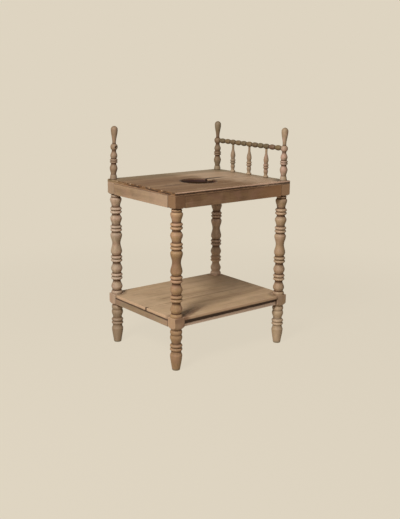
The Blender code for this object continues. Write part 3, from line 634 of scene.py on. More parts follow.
def wood(name, colour, worn, dirt, grain, shift, tints=(), marks=None, gloss=0.52, bands=1.0):
    """Old stained wood: streaks, rings, fibres and pores, rubbed crests and dirt in the hollows."""
    material, start, spot = blank_material(name)
    place = start.node("ShaderNodeMapping", None, {"Vector": spot, "Location": shift})
    streaks = place.noise(stretch(grain, *STREAK_SCALES), 4.0, 0.6, 0.3)
    fibres = place.noise(stretch(grain, *FIBRE_SCALES), 3.0, 0.6)
    pores = place.noise(stretch(grain, *PORE_SCALES), 1.0).ramp(0.62, 0.74)
    clouds = place.noise((CLOUD_SCALE,) * 3, 3.0, 0.6, 0.4)
    blots = place.noise((BLOT_SCALE,) * 3, 3.0, 0.65)
    across = "Y" if grain != "Y" else "X"
    width = place.parts()["XYZ".index(across)]
    bend = place.noise(stretch(grain, *RING_BEND_SCALES), 2.0) * RING_BEND
    rings = (width * RING_SPACING + bend).sine()
    relief = start.node("ShaderNodeAttribute", {"attribute_name": "wear"}, output=2)

    tone = fibres.ramp(0.25, 0.75).blend(scaled(colour, 0.84), scaled(colour, 1.10))
    tone = (streaks.ramp(0.42, 0.70) * (0.50 * bands)).blend(tone, scaled(toward(colour, worn, 0.45), 1.02))
    tone = (streaks.ramp(0.50, 0.30) * (0.56 * bands)).blend(tone, scaled(toward(colour, dirt, 0.42), 0.93))
    tone = (rings.ramp(0.35, 1.0) * 0.16).blend(tone, scaled(toward(colour, dirt, 0.5), 0.9))
    for number, (tint, strength) in enumerate(tints):
        first, further, height = TINT_SCALES
        scale = first + further * number
        cloud = place.noise((scale, scale, height), 2.0).ramp(0.44, 0.62)
        tone = (cloud * strength).blend(tone, tint)
    tone = (pores * 0.35).blend(tone, scaled(toward(colour, dirt, 0.7), 0.8))
    grime = clouds.ramp(0.50, 0.72) * 0.30
    tone = grime.blend(tone, scaled(toward(colour, dirt, 0.6), 0.9))
    rubbed = relief.ramp(0.12, 0.85) * blots.ramp(0.25, 0.60)
    tone = (rubbed * 0.42).blend(tone, worn)
    hollow = relief.ramp(-0.08, -0.60)
    tone = (hollow * 0.90).blend(tone, dirt)
    rough = gloss + fibres * 0.12 + hollow * 0.2 - rubbed * 0.06
    height = fibres * 0.5 - pores * 0.7 + blots * 0.35
    for mask, mark in marks(spot, blots, clouds) if marks else ():
        tone = mask.blend(tone, mark)
    shader = drive_shader(material, {"Base Color": tone, "Roughness": rough}, height, WOOD_BUMP)
    shader.inputs["Specular IOR Level"].default_value = WOOD_SPECULAR
    return material


def iron(name):
    """Dark, rusted iron."""
    material, _, spot = blank_material(name)
    rust = spot.noise((RUST_SCALE,) * 3, 4.0, 0.65)
    tone = rust.ramp(0.4, 0.65).blend(paint(52, 44, 40), paint(104, 66, 44))
    surface = {"Base Color": tone, "Roughness": 0.55 + rust * 0.35, "Metallic": rust.ramp(0.7, 0.3) * 0.8}
    drive_shader(material, surface, rust, IRON_BUMP)
    return material


def turned_colours(settings, tone):
    """Wood, worn wood and dirt of a turned piece in its own tone."""
    return scaled(tuple(settings.wood), tone), scaled(tuple(settings.worn), tone), tuple(settings.dirt)


def move(shape, way):
    """Moves a whole shape."""
    bmesh.ops.translate(shape, verts=list(shape.verts), vec=way)


def roughen(shape, scale, size, seeds, height):
    """Moves each point a little, by clouds of its own for each axis."""
    for vert in shape.verts:
        shift = [noise.noise(vert.co * scale + Vector((seed, 0, height))) for seed in seeds]
        vert.co += Vector(shift) * size


def round_edges(shape, edges, width, segments=3, clamp=False):
    """Rounds edges of a shape. One segment makes a flat chamfer."""
    bmesh.ops.bevel(
        shape, geom=edges, offset=width, segments=segments, profile=0.5, affect="EDGES", material=-1,
        clamp_overlap=clamp,
    )


def mesh_object(shape, name):
    """Turns a bmesh into an object of the scene."""
    mesh = bpy.data.meshes.new(name)
    shape.to_mesh(mesh)
    shape.free()
    made = bpy.data.objects.new(name, mesh)
    bpy.context.scene.collection.objects.link(made)
    return made


def finish_piece(shape, name, material, nodes):
    """Turns a bmesh into a piece of the stand that stands for its CAD nodes."""
    piece = mesh_object(shape, name)
    piece.data.shade_smooth()
    piece.data.set_sharp_from_angle(angle=math.radians(SHARP_ANGLE))
    piece.data.materials.append(material)
    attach(piece, "root")
    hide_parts(*nodes)
    return piece


def form_points(start, row, top, length, radius):
    """The outline's points from one row to the next, without the first."""
    place, share, form = row[:3]
    points = []
    if form == "line":
        rise = (place - start[0]) * length
        steps = max(1, math.ceil(math.hypot(rise, (share - start[1]) * radius) / LINE_STEP))
    else:
        steps = FORM_STEPS[form]
    for step in range(1, steps + 1):
        way = step / steps
        down = way
        if form == "line":
            swell = start[1] + (share - start[1]) * way
        elif form in ("ease", "rise"):
            swell = start[1] + (share - start[1]) * (1 - math.cos(math.pi * way)) / 2
        elif form == "cap":
            down = 1 - math.cos(way * math.pi / 2)
            swell = share * math.sin(way * math.pi / 2)
        else:
            root = start[1] if way < 0.5 else share
            side = 2 * way - 1
            swell = math.sqrt(row[3] ** 2 - side * side * (row[3] ** 2 - root * root))
        points.append((swell * radius, top - (start[0] + (place - start[0]) * down) * length))
    return points


def outline(rows, top, length, radius):
    """Works a table of shares out as points (radius, height), from the top down."""
    points = [(rows[0][1] * radius, top - rows[0][0] * length)]
    for start, row in zip(rows, rows[1:]):
        points += form_points(start, row, top, length, radius)
    return points


def between(points, upper, lower):
    """The part of an outline between two heights, with points on both."""
    heights = [-height for _, height in points]
    radii = [radius for radius, _ in points]
    ends = [(float(np.interp(-level, heights, radii)), level) for level in (upper, lower)]
    inner = [point for point in points if lower + WELD < point[1] < upper - WELD]
    return [ends[0], *inner, ends[1]]


def relief_of(points):
    """How far each point stands out of an outline, from -1 in a groove to 1 on a crest."""
    beads = stand_out(points, *BEAD_RELIEF)
    waists = stand_out(points, *WAIST_RELIEF)
    return np.clip(beads + WAIST_RELIEF_SHARE * waists, -1, 1)


def stand_out(points, reach, depth):
    """Distance of each point from the outline's mean level within reach, as a share of depth."""
    radii = np.array([min(radius, BLOCK_SIDE / 2) for radius, _ in points])
    heights = np.array([height for _, height in points])
    steps = np.hypot(np.diff(radii), np.diff(heights))
    way = np.concatenate([[0], np.cumsum(steps)])
    share = np.gradient(way) + WELD
    weights = np.exp(-(((way[:, None] - way[None, :]) / reach) ** 2)) * share[None, :]
    level = weights @ radii / weights.sum(axis=1)
    return np.clip((radii - level) / depth, -1, 1)


def spin_outline(points, steps, soil=1.0):
    """Turns an outline of (radius, height) points round the Z axis into a closed shell."""
    shape = bmesh.new()
    wear = shape.verts.layers.float.new("wear")
    row = []
    for (radius, height), relief in zip(points, relief_of(points)):
        vert = shape.verts.new((radius, 0, height))
        vert[wear] = relief * soil
        row.append(vert)
    edges = [shape.edges.new(pair) for pair in zip(row, row[1:])]
    bmesh.ops.spin(
        shape, geom=row + edges, cent=(0, 0, 0), axis=(0, 0, 1), dvec=(0, 0, 0), angle=2 * math.pi,
        steps=steps, use_merge=True,
    )
    bmesh.ops.remove_doubles(shape, verts=list(shape.verts), dist=WELD)
    bmesh.ops.recalc_face_normals(shape, faces=list(shape.faces))
    return shape


def hand_turn(shape, seed, drift, ripple, still=()):
    """Takes the machine's evenness out of a turning. It stays true between the heights in still."""
    across, along = RIPPLE_SCALES
    for vert in shape.verts:
        height = vert.co.z
        if any(low <= height <= high for low, high in still):
            continue
        wave = height * DRIFT_SCALE
        offset = Vector((noise.noise((wave, seed, 0)), noise.noise((wave, 0, seed)), 0))
        out = Vector((vert.co.x, vert.co.y, 0))
        if out.length > WELD:
            swell = noise.noise(Vector((out.x * across, out.y * across, height * along + seed)))
            out = out.normalized() * swell * ripple
        slip = noise.noise((seed, height * SLIP_SCALE, 0)) * drift
        vert.co += offset * drift * DRIFT_SHARE + out + Vector((0, 0, slip))


def dent(shape, seed, count, size, depth, low, high):
    """Presses small dents into the surface between two heights."""
    draw = random.Random(seed)
    choice = [vert for vert in shape.verts if low < vert.co.z < high]
    for _ in range(count):
        centre = draw.choice(choice)
        middle = centre.co.copy()
        inward = -centre.normal.copy()
        reach = size * draw.uniform(*DENT_SPREAD)
        for vert in choice:
            if abs(vert.co.z - middle.z) > reach:
                continue
            share = (vert.co - middle).length / reach
            if share < 1:
                vert.co += inward * depth * (1 - share * share) ** 2


def soft_min(first, second, width):
    """The lesser of two lengths, with the corner between them rounded."""
    close = max(width - abs(first - second), 0) / width
    return min(first, second) - close * close * width / 4


def block_radius(angle, height, bottom, top, shoulder, seed):
    """Distance from a leg's axis to the face of its square block, and how worn that spot is."""
    half = BLOCK_SIDE / 2
    square = half / max(abs(math.cos(angle)), abs(math.sin(angle)))
    corner = half * math.sqrt(2) - ARRIS_WEAR * ARRIS_CUT_SHARE
    rag = noise.noise((math.cos(angle) * 2 + seed, math.sin(angle) * 2, height * 45))
    corner -= ARRIS_RAG * abs(rag)
    radius = soft_min(square, corner, ARRIS_WEAR)
    rise = (height - bottom) / shoulder
    lathe = BLOCK_SIDE * float(np.interp(rise, SHOULDER_HEIGHT_SHARES, SHOULDER_RADIUS_SHARES))
    radius = soft_min(radius, lathe, LATHE_BLEND)
    depth = top - height
    if depth < ARRIS_WEAR:
        radius -= ARRIS_WEAR * 0.5 * (1 - math.sqrt(1 - (1 - depth / ARRIS_WEAR) ** 2))
    wear = max(0.0, 1 - (corner - radius) / WORN_DEPTH) if lathe > corner else 0.25
    if depth < ARRIS_WEAR * 1.5:
        wear = max(wear, 0.8)
    return radius, min(wear, 1.0)


def block_rows(top, bottom, shoulder):
    """Outline rows of a block. Their radius is only a mark, which shape_blocks works out."""
    heights = [top - ARRIS_WEAR * share for share in UPPER_ROW_SHARES]
    shoulder_top = bottom + SHOULDER_HEIGHT_SHARES[-1] * shoulder
    steps = max(2, round((heights[-1] - shoulder_top) / BLOCK_STEP))
    heights += [heights[-1] + (shoulder_top - heights[-1]) * step / steps for step in range(1, steps + 1)]
    steps = round((shoulder_top - bottom) / SHOULDER_STEP)
    heights += [shoulder_top + (bottom - shoulder_top) * step / steps for step in range(1, steps + 1)]
    return [(BLOCK_SIDE, height) for height in heights]


def shape_blocks(shape, blocks, seed):
    """Crowds the columns towards the corners and works the square blocks out of the turning."""
    wear = shape.verts.layers.float["wear"]
    quarter = math.pi / 2
    for vert in shape.verts:
        radius = math.hypot(vert.co.x, vert.co.y)
        if radius < WELD:
            continue
        angle = math.atan2(vert.co.y, vert.co.x)
        part = math.floor(angle / quarter)
        side = 2 * (angle / quarter - part) - 1
        angle = (part + (1 + math.copysign(side * side, side)) / 2) * quarter
        if radius > BLOCK_SIDE * 0.9:
            for bottom, top, shoulder in blocks:
                if bottom - WELD <= vert.co.z <= top + WELD:
                    radius, vert[wear] = block_radius(angle, vert.co.z, bottom, top, shoulder, seed)
        vert.co.x = radius * math.cos(angle)
        vert.co.y = radius * math.sin(angle)


def leg_shape(settings, seed):
    """One leg round its own axis, from the top of its head block to the floor."""
    core = CORE_SHARE * settings.leg_radius
    length = APRON_BOTTOM - SHELF_HEIGHT
    stretch_points = outline(LEG_STRETCH_SHARES, APRON_BOTTOM, length, settings.leg_radius)
    foot_points = outline(FOOT_SHARES, SHELF_BLOCK_BOTTOM, SHELF_BLOCK_BOTTOM, settings.leg_radius)
    points = [(0, APRON_TOP), (core, APRON_TOP)]
    points += block_rows(APRON_TOP, APRON_BOTTOM, HEAD_SHOULDER)
    points += between([(core, APRON_BOTTOM), *stretch_points], APRON_BOTTOM, SHELF_HEIGHT)
    points += block_rows(SHELF_HEIGHT, SHELF_BLOCK_BOTTOM, SHELF_SHOULDER)
    points += between(foot_points, SHELF_BLOCK_BOTTOM, 0)
    points += [(core / 2, 0), (0, 0)]
    shape = spin_outline(points, settings.leg_steps)
    blocks = (
        (APRON_BOTTOM, APRON_TOP, HEAD_SHOULDER),
        (SHELF_BLOCK_BOTTOM, SHELF_HEIGHT, SHELF_SHOULDER),
    )
    shape_blocks(shape, blocks, seed)
    still = [(low - GAP, high + GAP) for low, high, _ in blocks] + [(-GAP, GAP)]
    hand_turn(shape, seed, LEG_DRIFT, LEG_RIPPLE, still)
    bmesh.ops.recalc_face_normals(shape, faces=list(shape.faces))
    shape.normal_update()
    stretch_end = APRON_BOTTOM - HEAD_SHOULDER
    foot_end = SHELF_BLOCK_BOTTOM - SHELF_SHOULDER
    dent(shape, seed, LEG_DENTS, LEG_DENT_SIZE, LEG_DENT_DEPTH, SHELF_HEIGHT, stretch_end)
    dent(shape, seed + 1, LEG_DENTS // 3, FOOT_DENT_SIZE, LEG_DENT_DEPTH, FOOT_DENT_SIZE, foot_end)
    return shape


def block_distance(x, y):
    """Distance in plan to the nearest square block of a leg."""
    across = x.sum("MAXIMUM", CLEAR_X - abs(x), 0.0)
    along = x.sum("MAXIMUM", CLEAR_Y - abs(y), 0.0)
    return edge_distance(across, along)


# The functions of marks give masks from 0 to 1, each with the colour that it lays over the wood. Lengths
# in their ramps are metres on the stand.
def leg_marks(head_colour, head_share, front_shade_share, foot_colour, foot_share, waist_share):
    """Gives the marks on a leg's waist, blocks, foot and neck, with painted shade on the blocks' fronts and
    painted light low on the back right leg.
    """
    def marks(spot, blots, clouds):
        x, y, height = spot.parts()
        waist = abs(height - LEG_WAIST_HEIGHT + (clouds - 0.5) * 0.03).ramp(0.055, 0.020)
        yield waist * waist_share, paint(104, 76, 50)
        head = (height + (clouds - 0.5) * 0.006).ramp(APRON_BOTTOM - 0.002, APRON_BOTTOM + 0.003)
        yield head * head_share, head_colour
        block_middle = (SHELF_HEIGHT + SHELF_BLOCK_BOTTOM) / 2
        low_block = abs(height - block_middle).ramp(SHELF_BLOCK_HEIGHT / 2 + 0.003, SHELF_BLOCK_HEIGHT / 2)
        yield low_block * 0.35, paint(200, 168, 142)
        block = height.ramp(APRON_BOTTOM - 0.001, APRON_BOTTOM + 0.004) + low_block * 1.2
        # Painted shade on the front faces of the blocks.
        front = y.ramp(-HALF_Y + 0.0016, -HALF_Y + 0.0006)
        yield front * block * front_shade_share * clouds.ramp(0.25, 0.5), paint(92, 58, 42)
        inner = spot.sum("MINIMUM", abs(x) - CLEAR_X, abs(y) - CLEAR_Y)
        yield inner.ramp(0.0042, 0.0010) * block * 0.3, paint(50, 34, 26)
        foot = height.ramp(SHELF_BLOCK_BOTTOM + 0.004, SHELF_BLOCK_BOTTOM - 0.02)
        yield foot * foot_share, foot_colour
        tip = (height + (blots - 0.5) * 0.012).ramp(0.010, 0.001)
        yield tip * 0.7, paint(118, 112, 92)
        # Painted light on the lower part of the back right leg, which stands in shade.
        pale = x.ramp(AXIS_X - 0.05, AXIS_X - 0.03) * y.ramp(0.1, 0.15) * height.ramp(0.37, 0.28)
        yield pale * 0.78, paint(238, 206, 176)
        neck = abs(height - APRON_BOTTOM).ramp(0.004, 0.0) * blots.ramp(0.2, 0.5)
        yield neck * 0.6, paint(62, 42, 30)
    return marks


# Each leg's tone, as shares of the stained wood's colour, and the tints in it. Then the colour and share
# of its head block, the share of painted shade on its blocks' fronts, the colour and share of its foot,
# and the share of its waist.
LEG_LOOKS = {
    "front_left": (
        (1.07, 1.04, 0.98), ((ROSE, 0.35), (HONEY, 0.30)),
        (paint(122, 92, 66), 0.85, 0.35, paint(150, 122, 92), 0.20, 0.45),
    ),
    "front_right": (
        (1.26, 1.40, 1.52), ((HONEY, 0.40), (ROSE, 0.25)),
        (paint(172, 136, 104), 0.90, 0.08, paint(200, 178, 150), 0.40, 0.0),
    ),
    "back_left": (
        (1.30, 1.52, 1.84), ((ROSE, 0.30), (ASH, 0.30)),
        (paint(146, 118, 90), 0.50, 0.40, paint(134, 112, 88), 0.60, 0.0),
    ),
    # Painted light: the back right leg's tone is raised, as it stands in the top's shade.
    "back_right": (
        (1.40, 1.56, 1.86), ((OLIVE, 0.20), (ROSE, 0.20)),
        (paint(140, 108, 80), 0.40, 0.40, paint(150, 122, 94), 0.20, 0.0),
    ),
}


class WASHSTAND_OT_legs(Operator):
    """Turn the four legs with their square blocks and feet"""

    bl_idname = "washstand.legs"
    bl_label = "Legs"

    def execute(self, context):
        settings = context.scene.washstand_turnings
        for number, (corner, (side_x, side_y)) in enumerate(CORNERS.items()):
            shape = leg_shape(settings, seed_of("leg", number))
            move(shape, (side_x * AXIS_X, side_y * AXIS_Y, 0))
            tone, tints, surface = LEG_LOOKS[corner]
            material = wood(
                "leg_wood_" + corner, *turned_colours(settings, tone), "Z", grain_place("leg", number),
                tints, leg_marks(*surface),
            )
            finish_piece(shape, "turned_leg_" + corner, material, ["leg_" + corner])
        return {"FINISHED"}


def slab(corners, bottom, top, ease):
    """A board over a flat outline of (x, y) corners, with eased edges."""
    shape = bmesh.new()
    shape.verts.layers.float.new("wear")
    face = shape.faces.new([shape.verts.new((x, y, bottom)) for x, y in corners])
    grown = bmesh.ops.extrude_face_region(shape, geom=[face])["geom"]
    upper = [vert for vert in grown if isinstance(vert, bmesh.types.BMVert)]
    bmesh.ops.translate(shape, verts=upper, vec=(0, 0, top - bottom))
    bmesh.ops.recalc_face_normals(shape, faces=list(shape.faces))
    sharp = [edge for edge in shape.edges if edge.calc_face_angle(0) > math.radians(30)]
    round_edges(shape, sharp, ease, clamp=True)
    return shape


def slice_region(shape, axis, low, high, step, keep=None):
    """Cuts the faces in a region, or all of them, by planes a step apart along an axis."""
    count = max(1, round((high - low) / step))
    normal = Vector([1.0 if letter == axis else 0.0 for letter in "XYZ"])
    for number in range(count + 1):
        faces = [face for face in shape.faces if keep is None or keep(face.calc_center_median())]
        edges = {edge for face in faces for edge in face.edges}
        verts = {vert for face in faces for vert in face.verts}
        place = normal * (low + (high - low) * number / count)
        bmesh.ops.bisect_plane(
            shape, geom=[*verts, *edges, *faces], dist=CUT_WELD, plane_co=place, plane_no=normal
        )


def gouge(shape, centre, radii, wear_value):
    """Presses a cavity into a board: points inside an ellipsoid move out to its face."""
    wear = shape.verts.layers.float["wear"]
    centre = Vector(centre)
    radii = Vector(radii)
    limit = radii * GOUGE_REACH_SHARE
    for vert in shape.verts:
        offset = vert.co - centre
        if abs(offset.x) > limit.x or abs(offset.y) > limit.y:
            continue
        share = Vector([part / reach for part, reach in zip(offset, radii)])
        rough = 1 + GOUGE_ROUGHNESS * noise.noise(vert.co * GOUGE_SCALE)
        if share.length < rough:
            depth = share.length / rough
            share = share / max(share.length, GOUGE_CORE) * rough
            vert.co = centre + Vector([part * reach for part, reach in zip(share, radii)])
            vert[wear] = wear_value * (1 - depth ** 4) + vert[wear] * depth ** 4


def warp(shape, swell, seed):
    """Bends a board a little, as old boards are."""
    along, across = WARP_SCALES
    for vert in shape.verts:
        spot = Vector((vert.co.x * along, vert.co.y * across, seed))
        vert.co.z += noise.noise(spot) * swell


def arc(start, end, steps):
    """Points on the rim of the basin hole, between two angles."""
    points = []
    for step in range(steps + 1):
        turn = start + (end - start) * step / steps
        points.append((HOLE_X + HOLE_RADIUS * math.cos(turn), HOLE_Y + HOLE_RADIUS * math.sin(turn)))
    return points


def hole_angle(y, side):
    """Angle at which the rim of the hole crosses a line from left to right."""
    turn = math.asin((y - HOLE_Y) / HOLE_RADIUS)
    return turn if side > 0 else math.pi - turn


def split_middle(side):
    """A point part of the way along the opened joint, on the front (-1) or the rear (1) board."""
    length, width = SPLIT_MIDDLE_SHARES
    return HOLE_X + HOLE_RADIUS + SPLIT_LENGTH * length, TOP_JOINT_Y + side * SPLIT_WIDTH * width


def front_board_corners():
    """Outline of the front board of the top, with the hole's front part and the broken tongue."""
    joint = TOP_JOINT_Y - GAP / 2
    rim = HOLE_X + HOLE_RADIUS
    back = TOP_JOINT_Y - SPLIT_WIDTH / 2
    tip = Vector((rim - TONGUE_REACH, back - TONGUE_WIDTH))
    root = Vector((rim - TONGUE_ROOT, back))
    side = (tip - root).normalized().orthogonal()
    broken = [root + (tip - root) * way + side * out for way, out in TONGUE_JAGS]
    corners = [(-HALF_X, -HALF_Y), (HALF_X, -HALF_Y), (HALF_X, joint), (rim + SPLIT_LENGTH, joint)]
    corners += [split_middle(-1), (rim, back)]
    corners += [tuple(root), *[tuple(point) for point in broken], tuple(tip)]
    corners += arc(hole_angle(tip.y, 1), hole_angle(joint, -1) - 2 * math.pi, FRONT_RIM_STEPS)
    corners += [(-HALF_X, joint)]
    return corners


def rear_board_corners():
    """Outline of the rear board of the top, with the hole's rear part."""
    joint = TOP_JOINT_Y + GAP / 2
    rim = HOLE_X + HOLE_RADIUS
    front = TOP_JOINT_Y + SPLIT_WIDTH / 2
    corners = [(-HALF_X, joint)]
    corners += arc(hole_angle(joint, -1), hole_angle(front, 1), REAR_RIM_STEPS)
    corners += [split_middle(1), (rim + SPLIT_LENGTH, joint)]
    corners += [(HALF_X, joint), (HALF_X, HALF_Y), (-HALF_X, HALF_Y)]
    return corners


def ellipse_mask(x, y, centre, reach):
    """1 in the middle of a streak, 0 outside it."""
    across = ((x - centre[0]) / reach[0]) ** 2.0 + ((y - centre[1]) / reach[1]) ** 2.0
    return across.ramp(1.1, 0.2)


def edge_distance(first, second):
    """Distance from an edge, from the distances to its two faces."""
    return (first * first + second * second) ** 0.5


def top_grain_marks(spot, x, y, blots, clouds):
    """Bands and lines along the grain of the top, and its dull, pale and olive parts."""
    bands = (spot.noise((2.0, 27, 27), 3.0, 0.6, 0.3) + spot.noise((5, 14, 14), 2.0) * 0.5) / 1.5
    yield bands.ramp(0.51, 0.575) * 0.50, paint(190, 159, 127)
    yield bands.ramp(0.49, 0.425) * 0.68, paint(88, 60, 37)
    lines = spot.noise((3, 62, 62), 3.0, 0.65)
    yield lines.ramp(0.52, 0.63) * 0.35, paint(94, 65, 42)
    yield lines.ramp(0.46, 0.36) * 0.30, paint(198, 168, 138)
    patches = (spot.noise((5, 10, 10), 2.0) - x * 0.25).ramp(0.50, 0.60)
    yield patches * 0.40, paint(104, 72, 44)
    dull = (x * 0.6 + y * 0.5 + (clouds - 0.5) * 0.10).ramp(0.09, -0.05)
    yield dull * (0.42 + blots * 0.3), paint(104, 70, 39)
    pale = (x + y * 0.3 + (clouds - 0.5) * 0.14).ramp(0.02, 0.12)
    yield pale * 0.66, paint(202, 172, 143)
    olive = (y + clouds * 0.06).ramp(0.14, 0.25) + (x + clouds * 0.05).ramp(0.25, 0.31)
    yield olive * 0.60, paint(128, 112, 84)


def top_stain_marks(x, y, blots, clouds):
    """Dark streaks in the top, and soil round the foot of the front right post."""
    for along, across, length, width in TOP_STREAKS:
        streak = ellipse_mask(x, y, (along, across), (length, width))
        yield streak * blots.ramp(0.3, 0.6) * 0.7, paint(74, 50, 34)
    seat = edge_distance(x - GALLERY_X, y + GALLERY_Y) + (clouds - 0.5) * 0.03
    yield seat.ramp(0.052, 0.024) * 0.80, paint(74, 60, 40)


def hole_marks(spot, x, y, below, blots):
    """Rim and wall of the basin hole, the opened joint beside it and the broken tongue."""
    rim = edge_distance(x - HOLE_X, y - HOLE_Y) - HOLE_RADIUS
    yield (abs(rim) + (blots - 0.5) * 0.004).ramp(0.010, 0.003) * 0.75, paint(60, 40, 30)
    crack = x - HOLE_X - HOLE_RADIUS
    crack_line = y - TOP_JOINT_Y - crack * 0.06 + (blots - 0.5) * 0.004
    crack_length = crack.ramp(SPLIT_LENGTH * 0.85, SPLIT_LENGTH * 0.35) * crack.ramp(-0.015, -0.005)
    yield abs(crack_line + 0.021).ramp(0.013, 0.006) * crack_length * 0.50, paint(206, 178, 150)
    yield abs(crack_line).ramp(0.0150, 0.0075) * crack_length * 0.92, paint(52, 35, 28)
    wall = abs(rim).ramp(0.0008, 0.0003) * below.ramp(0.0010, 0.0022)
    grain = spot.noise((260, 260, 20), 2.0).ramp(0.35, 0.65)
    yield wall * 0.9, grain.blend(paint(80, 55, 42), paint(114, 84, 64))
    # Painted shade on the lower part of the hole's wall.
    yield wall * below.ramp(0.003, 0.0075) * 0.90, paint(50, 30, 31)
    tongue = rim.ramp(-0.0012, -0.0028)
    # Painted shade on the broken tongue's faces below the top.
    yield tongue * below.ramp(0.0014, 0.0028) * 0.92, paint(58, 40, 34)
    yield tongue * below.ramp(0.0014, 0.0004) * 0.45, paint(190, 160, 130)


def top_edge_marks(spot, x, y, below, blots):
    """Dark ragged lines and a pale lower part in the top's front and left faces, and its worn, chipped
    arrises.
    """
    front = y + HALF_Y
    left = x + HALF_X
    front_face = front.ramp(0.0012, 0.0006)
    faces = (front_face + left.ramp(0.0012, 0.0006)).ramp(0.2, 0.9)
    ragged = spot.noise((55, 55, 240), 3.0, 0.7)
    line = abs(below - 0.0068 + (ragged - 0.5) * 0.012).ramp(0.0038, 0.0014)
    torn = front_face
    for middle, half in TORN_STRETCHES:
        torn = torn + abs(y - middle + (blots - 0.5) * 0.02).ramp(half, half * 0.7)
    yield line * faces * torn.ramp(0.1, 0.9) * 0.88, paint(54, 36, 26)
    lower = (below + (ragged - 0.5) * 0.004).ramp(0.0098, 0.0118) * faces
    yield lower * 0.50, paint(188, 150, 124)
    reach = 0.0022 + x.ramp(-0.1, 0.25) * 0.0026 + (blots - 0.5) * 0.004
    arris = (edge_distance(front, below) - reach).ramp(0.0014, -0.0006)
    yield arris * 0.80, paint(212, 176, 152)
    broken = spot.noise((20, 70, 20), 3.0, 0.7)
    chips = (edge_distance(left, below) - 0.0034).ramp(0.0016, -0.0004)
    yield chips * broken.ramp(0.60, 0.66) * 0.60, paint(214, 184, 154)
    yield chips * broken.ramp(0.50, 0.42) * 0.75, paint(62, 42, 30)


def top_marks(spot, blots, clouds):
    """All marks on the top, each of which lies over those before it."""
    x, y, z = spot.parts()
    below = TOP_HEIGHT - z
    yield from top_grain_marks(spot, x, y, blots, clouds)
    yield from top_stain_marks(x, y, blots, clouds)
    yield from hole_marks(spot, x, y, below, blots)
    yield from top_edge_marks(spot, x, y, below, blots)


class WASHSTAND_OT_top(Operator):
    """Make the two boards of the top, with the basin hole and the broken tongue"""

    bl_idname = "washstand.top"
    bl_label = "Top"

    def execute(self, context):
        settings = context.scene.washstand_boards
        outlines = {"front": front_board_corners(), "rear": rear_board_corners()}
        for number, (board, corners) in enumerate(outlines.items()):
            shape = slab(corners, TOP_UNDERSIDE, TOP_HEIGHT, settings.top_ease)
            low_y = min(y for _, y in corners)
            high_y = max(y for _, y in corners)
            self.cut_grid(shape, low_y, high_y, settings.grid)
            self.wear_end(shape, low_y, high_y, seed_of("top_end", number))
            warp(shape, TOP_WARP, seed_of("top_warp", number))
            material = wood(
                "top_wood_" + board, tuple(settings.top_wood), *TOP_WEAR, "X", grain_place("top", number),
                ((ROSE, 0.12), (HONEY, 0.22)), top_marks, gloss=0.50, bands=1.2,
            )
            finish_piece(shape, "worn_top_" + board, material, ["top_board_" + board])
        return {"FINISHED"}

    def cut_grid(self, shape, low_y, high_y, grid):
        """Points all over the board, closer together along its left end."""
        near_end = -HALF_X + END_BAND
        margin_x, margin_y = GRID_MARGINS
        step_x, step_y, step_z = END_STEPS

        def in_band(spot):
            return spot.x < near_end

        slice_region(shape, "X", -HALF_X + margin_x, HALF_X - margin_x, grid)
        slice_region(shape, "Y", low_y + margin_y, high_y - margin_y, grid)
        slice_region(shape, "X", near_end, near_end, 1)
        slice_region(shape, "Y", low_y + END_MARGIN, high_y - END_MARGIN, step_y, in_band)
        slice_region(shape, "X", -HALF_X + EDGE_MARGIN, near_end, step_x, in_band)
        slice_region(shape, "Z", TOP_UNDERSIDE + EDGE_MARGIN, TOP_HEIGHT - EDGE_MARGIN, step_z, in_band)

    def wear_end(self, shape, low_y, high_y, seed):
        """Cavities in the end grain and a ragged upper edge."""
        for place, rise, length, height, depth, wear_value in END_CHIPS:
            if low_y < place < high_y:
                centre = (-HALF_X - depth * 0.1, place, TOP_UNDERSIDE + rise)
                gouge(shape, centre, (depth, length, height), wear_value)
        draw = random.Random(seed)
        for _ in range(NICKS):
            place = draw.uniform(low_y, high_y)
            reach = [draw.uniform(*span) for span in (NICK_DEPTHS, NICK_LENGTHS, NICK_HEIGHTS)]
            shade = draw.choice(NICK_SHADES)
            gouge(shape, (-HALF_X - NICK_OUTSET, place, TOP_HEIGHT + NICK_OUTSET), reach, shade)


def tenoned_board(half_length, half_height, half_thickness, tenon_length, ease, seed):
    """A board along its own X axis, with a tenon on each end and eased edges."""
    shape = bmesh.new()
    shape.verts.layers.float.new("wear")
    bmesh.ops.create_cube(
        shape, size=2, matrix=Matrix.Diagonal((half_length, half_thickness, half_height, 1))
    )
    ends = [face for face in shape.faces if abs(face.normal.x) > 0.5]
    long_edges = [
        edge for edge in shape.edges
        if abs(edge.verts[0].co.x - edge.verts[1].co.x) > half_length
    ]
    rims = [edge for face in ends for edge in face.edges]
    bmesh.ops.inset_individual(
        shape, faces=ends, thickness=half_thickness * (1 - TENON_THICKNESS_SHARE), use_even_offset=True
    )
    for face in ends:
        for vert in face.verts:
            vert.co.y = math.copysign(half_thickness * TENON_THICKNESS_SHARE, vert.co.y)
            vert.co.z = math.copysign(half_height * TENON_HEIGHT_SHARE, vert.co.z)
        outward = face.normal.copy()
        grown = bmesh.ops.extrude_discrete_faces(shape, faces=[face])["faces"]
        bmesh.ops.translate(shape, verts=list(grown[0].verts), vec=outward * tenon_length)
    round_edges(shape, long_edges + rims, ease)
    cuts = (("X", half_length, BOARD_CUTS), ("Z", half_height, BOARD_HEIGHT_CUTS))
    for axis, half, (margin, step) in cuts:
        slice_region(shape, axis, -half + margin, half - margin, step)
    along, across = BOARD_WAVES
    for vert in shape.verts:
        if abs(vert.co.x) < half_length - WELD:
            spot = Vector((vert.co.x * along, vert.co.y * across, vert.co.z * across + seed))
            vert.co.y += noise.noise(spot) * BOARD_UNEVENNESS
            vert.co.z += noise.noise(spot + Vector((0, 0, BOARD_WAVE_SHIFT))) * BOARD_UNEVENNESS
    return shape


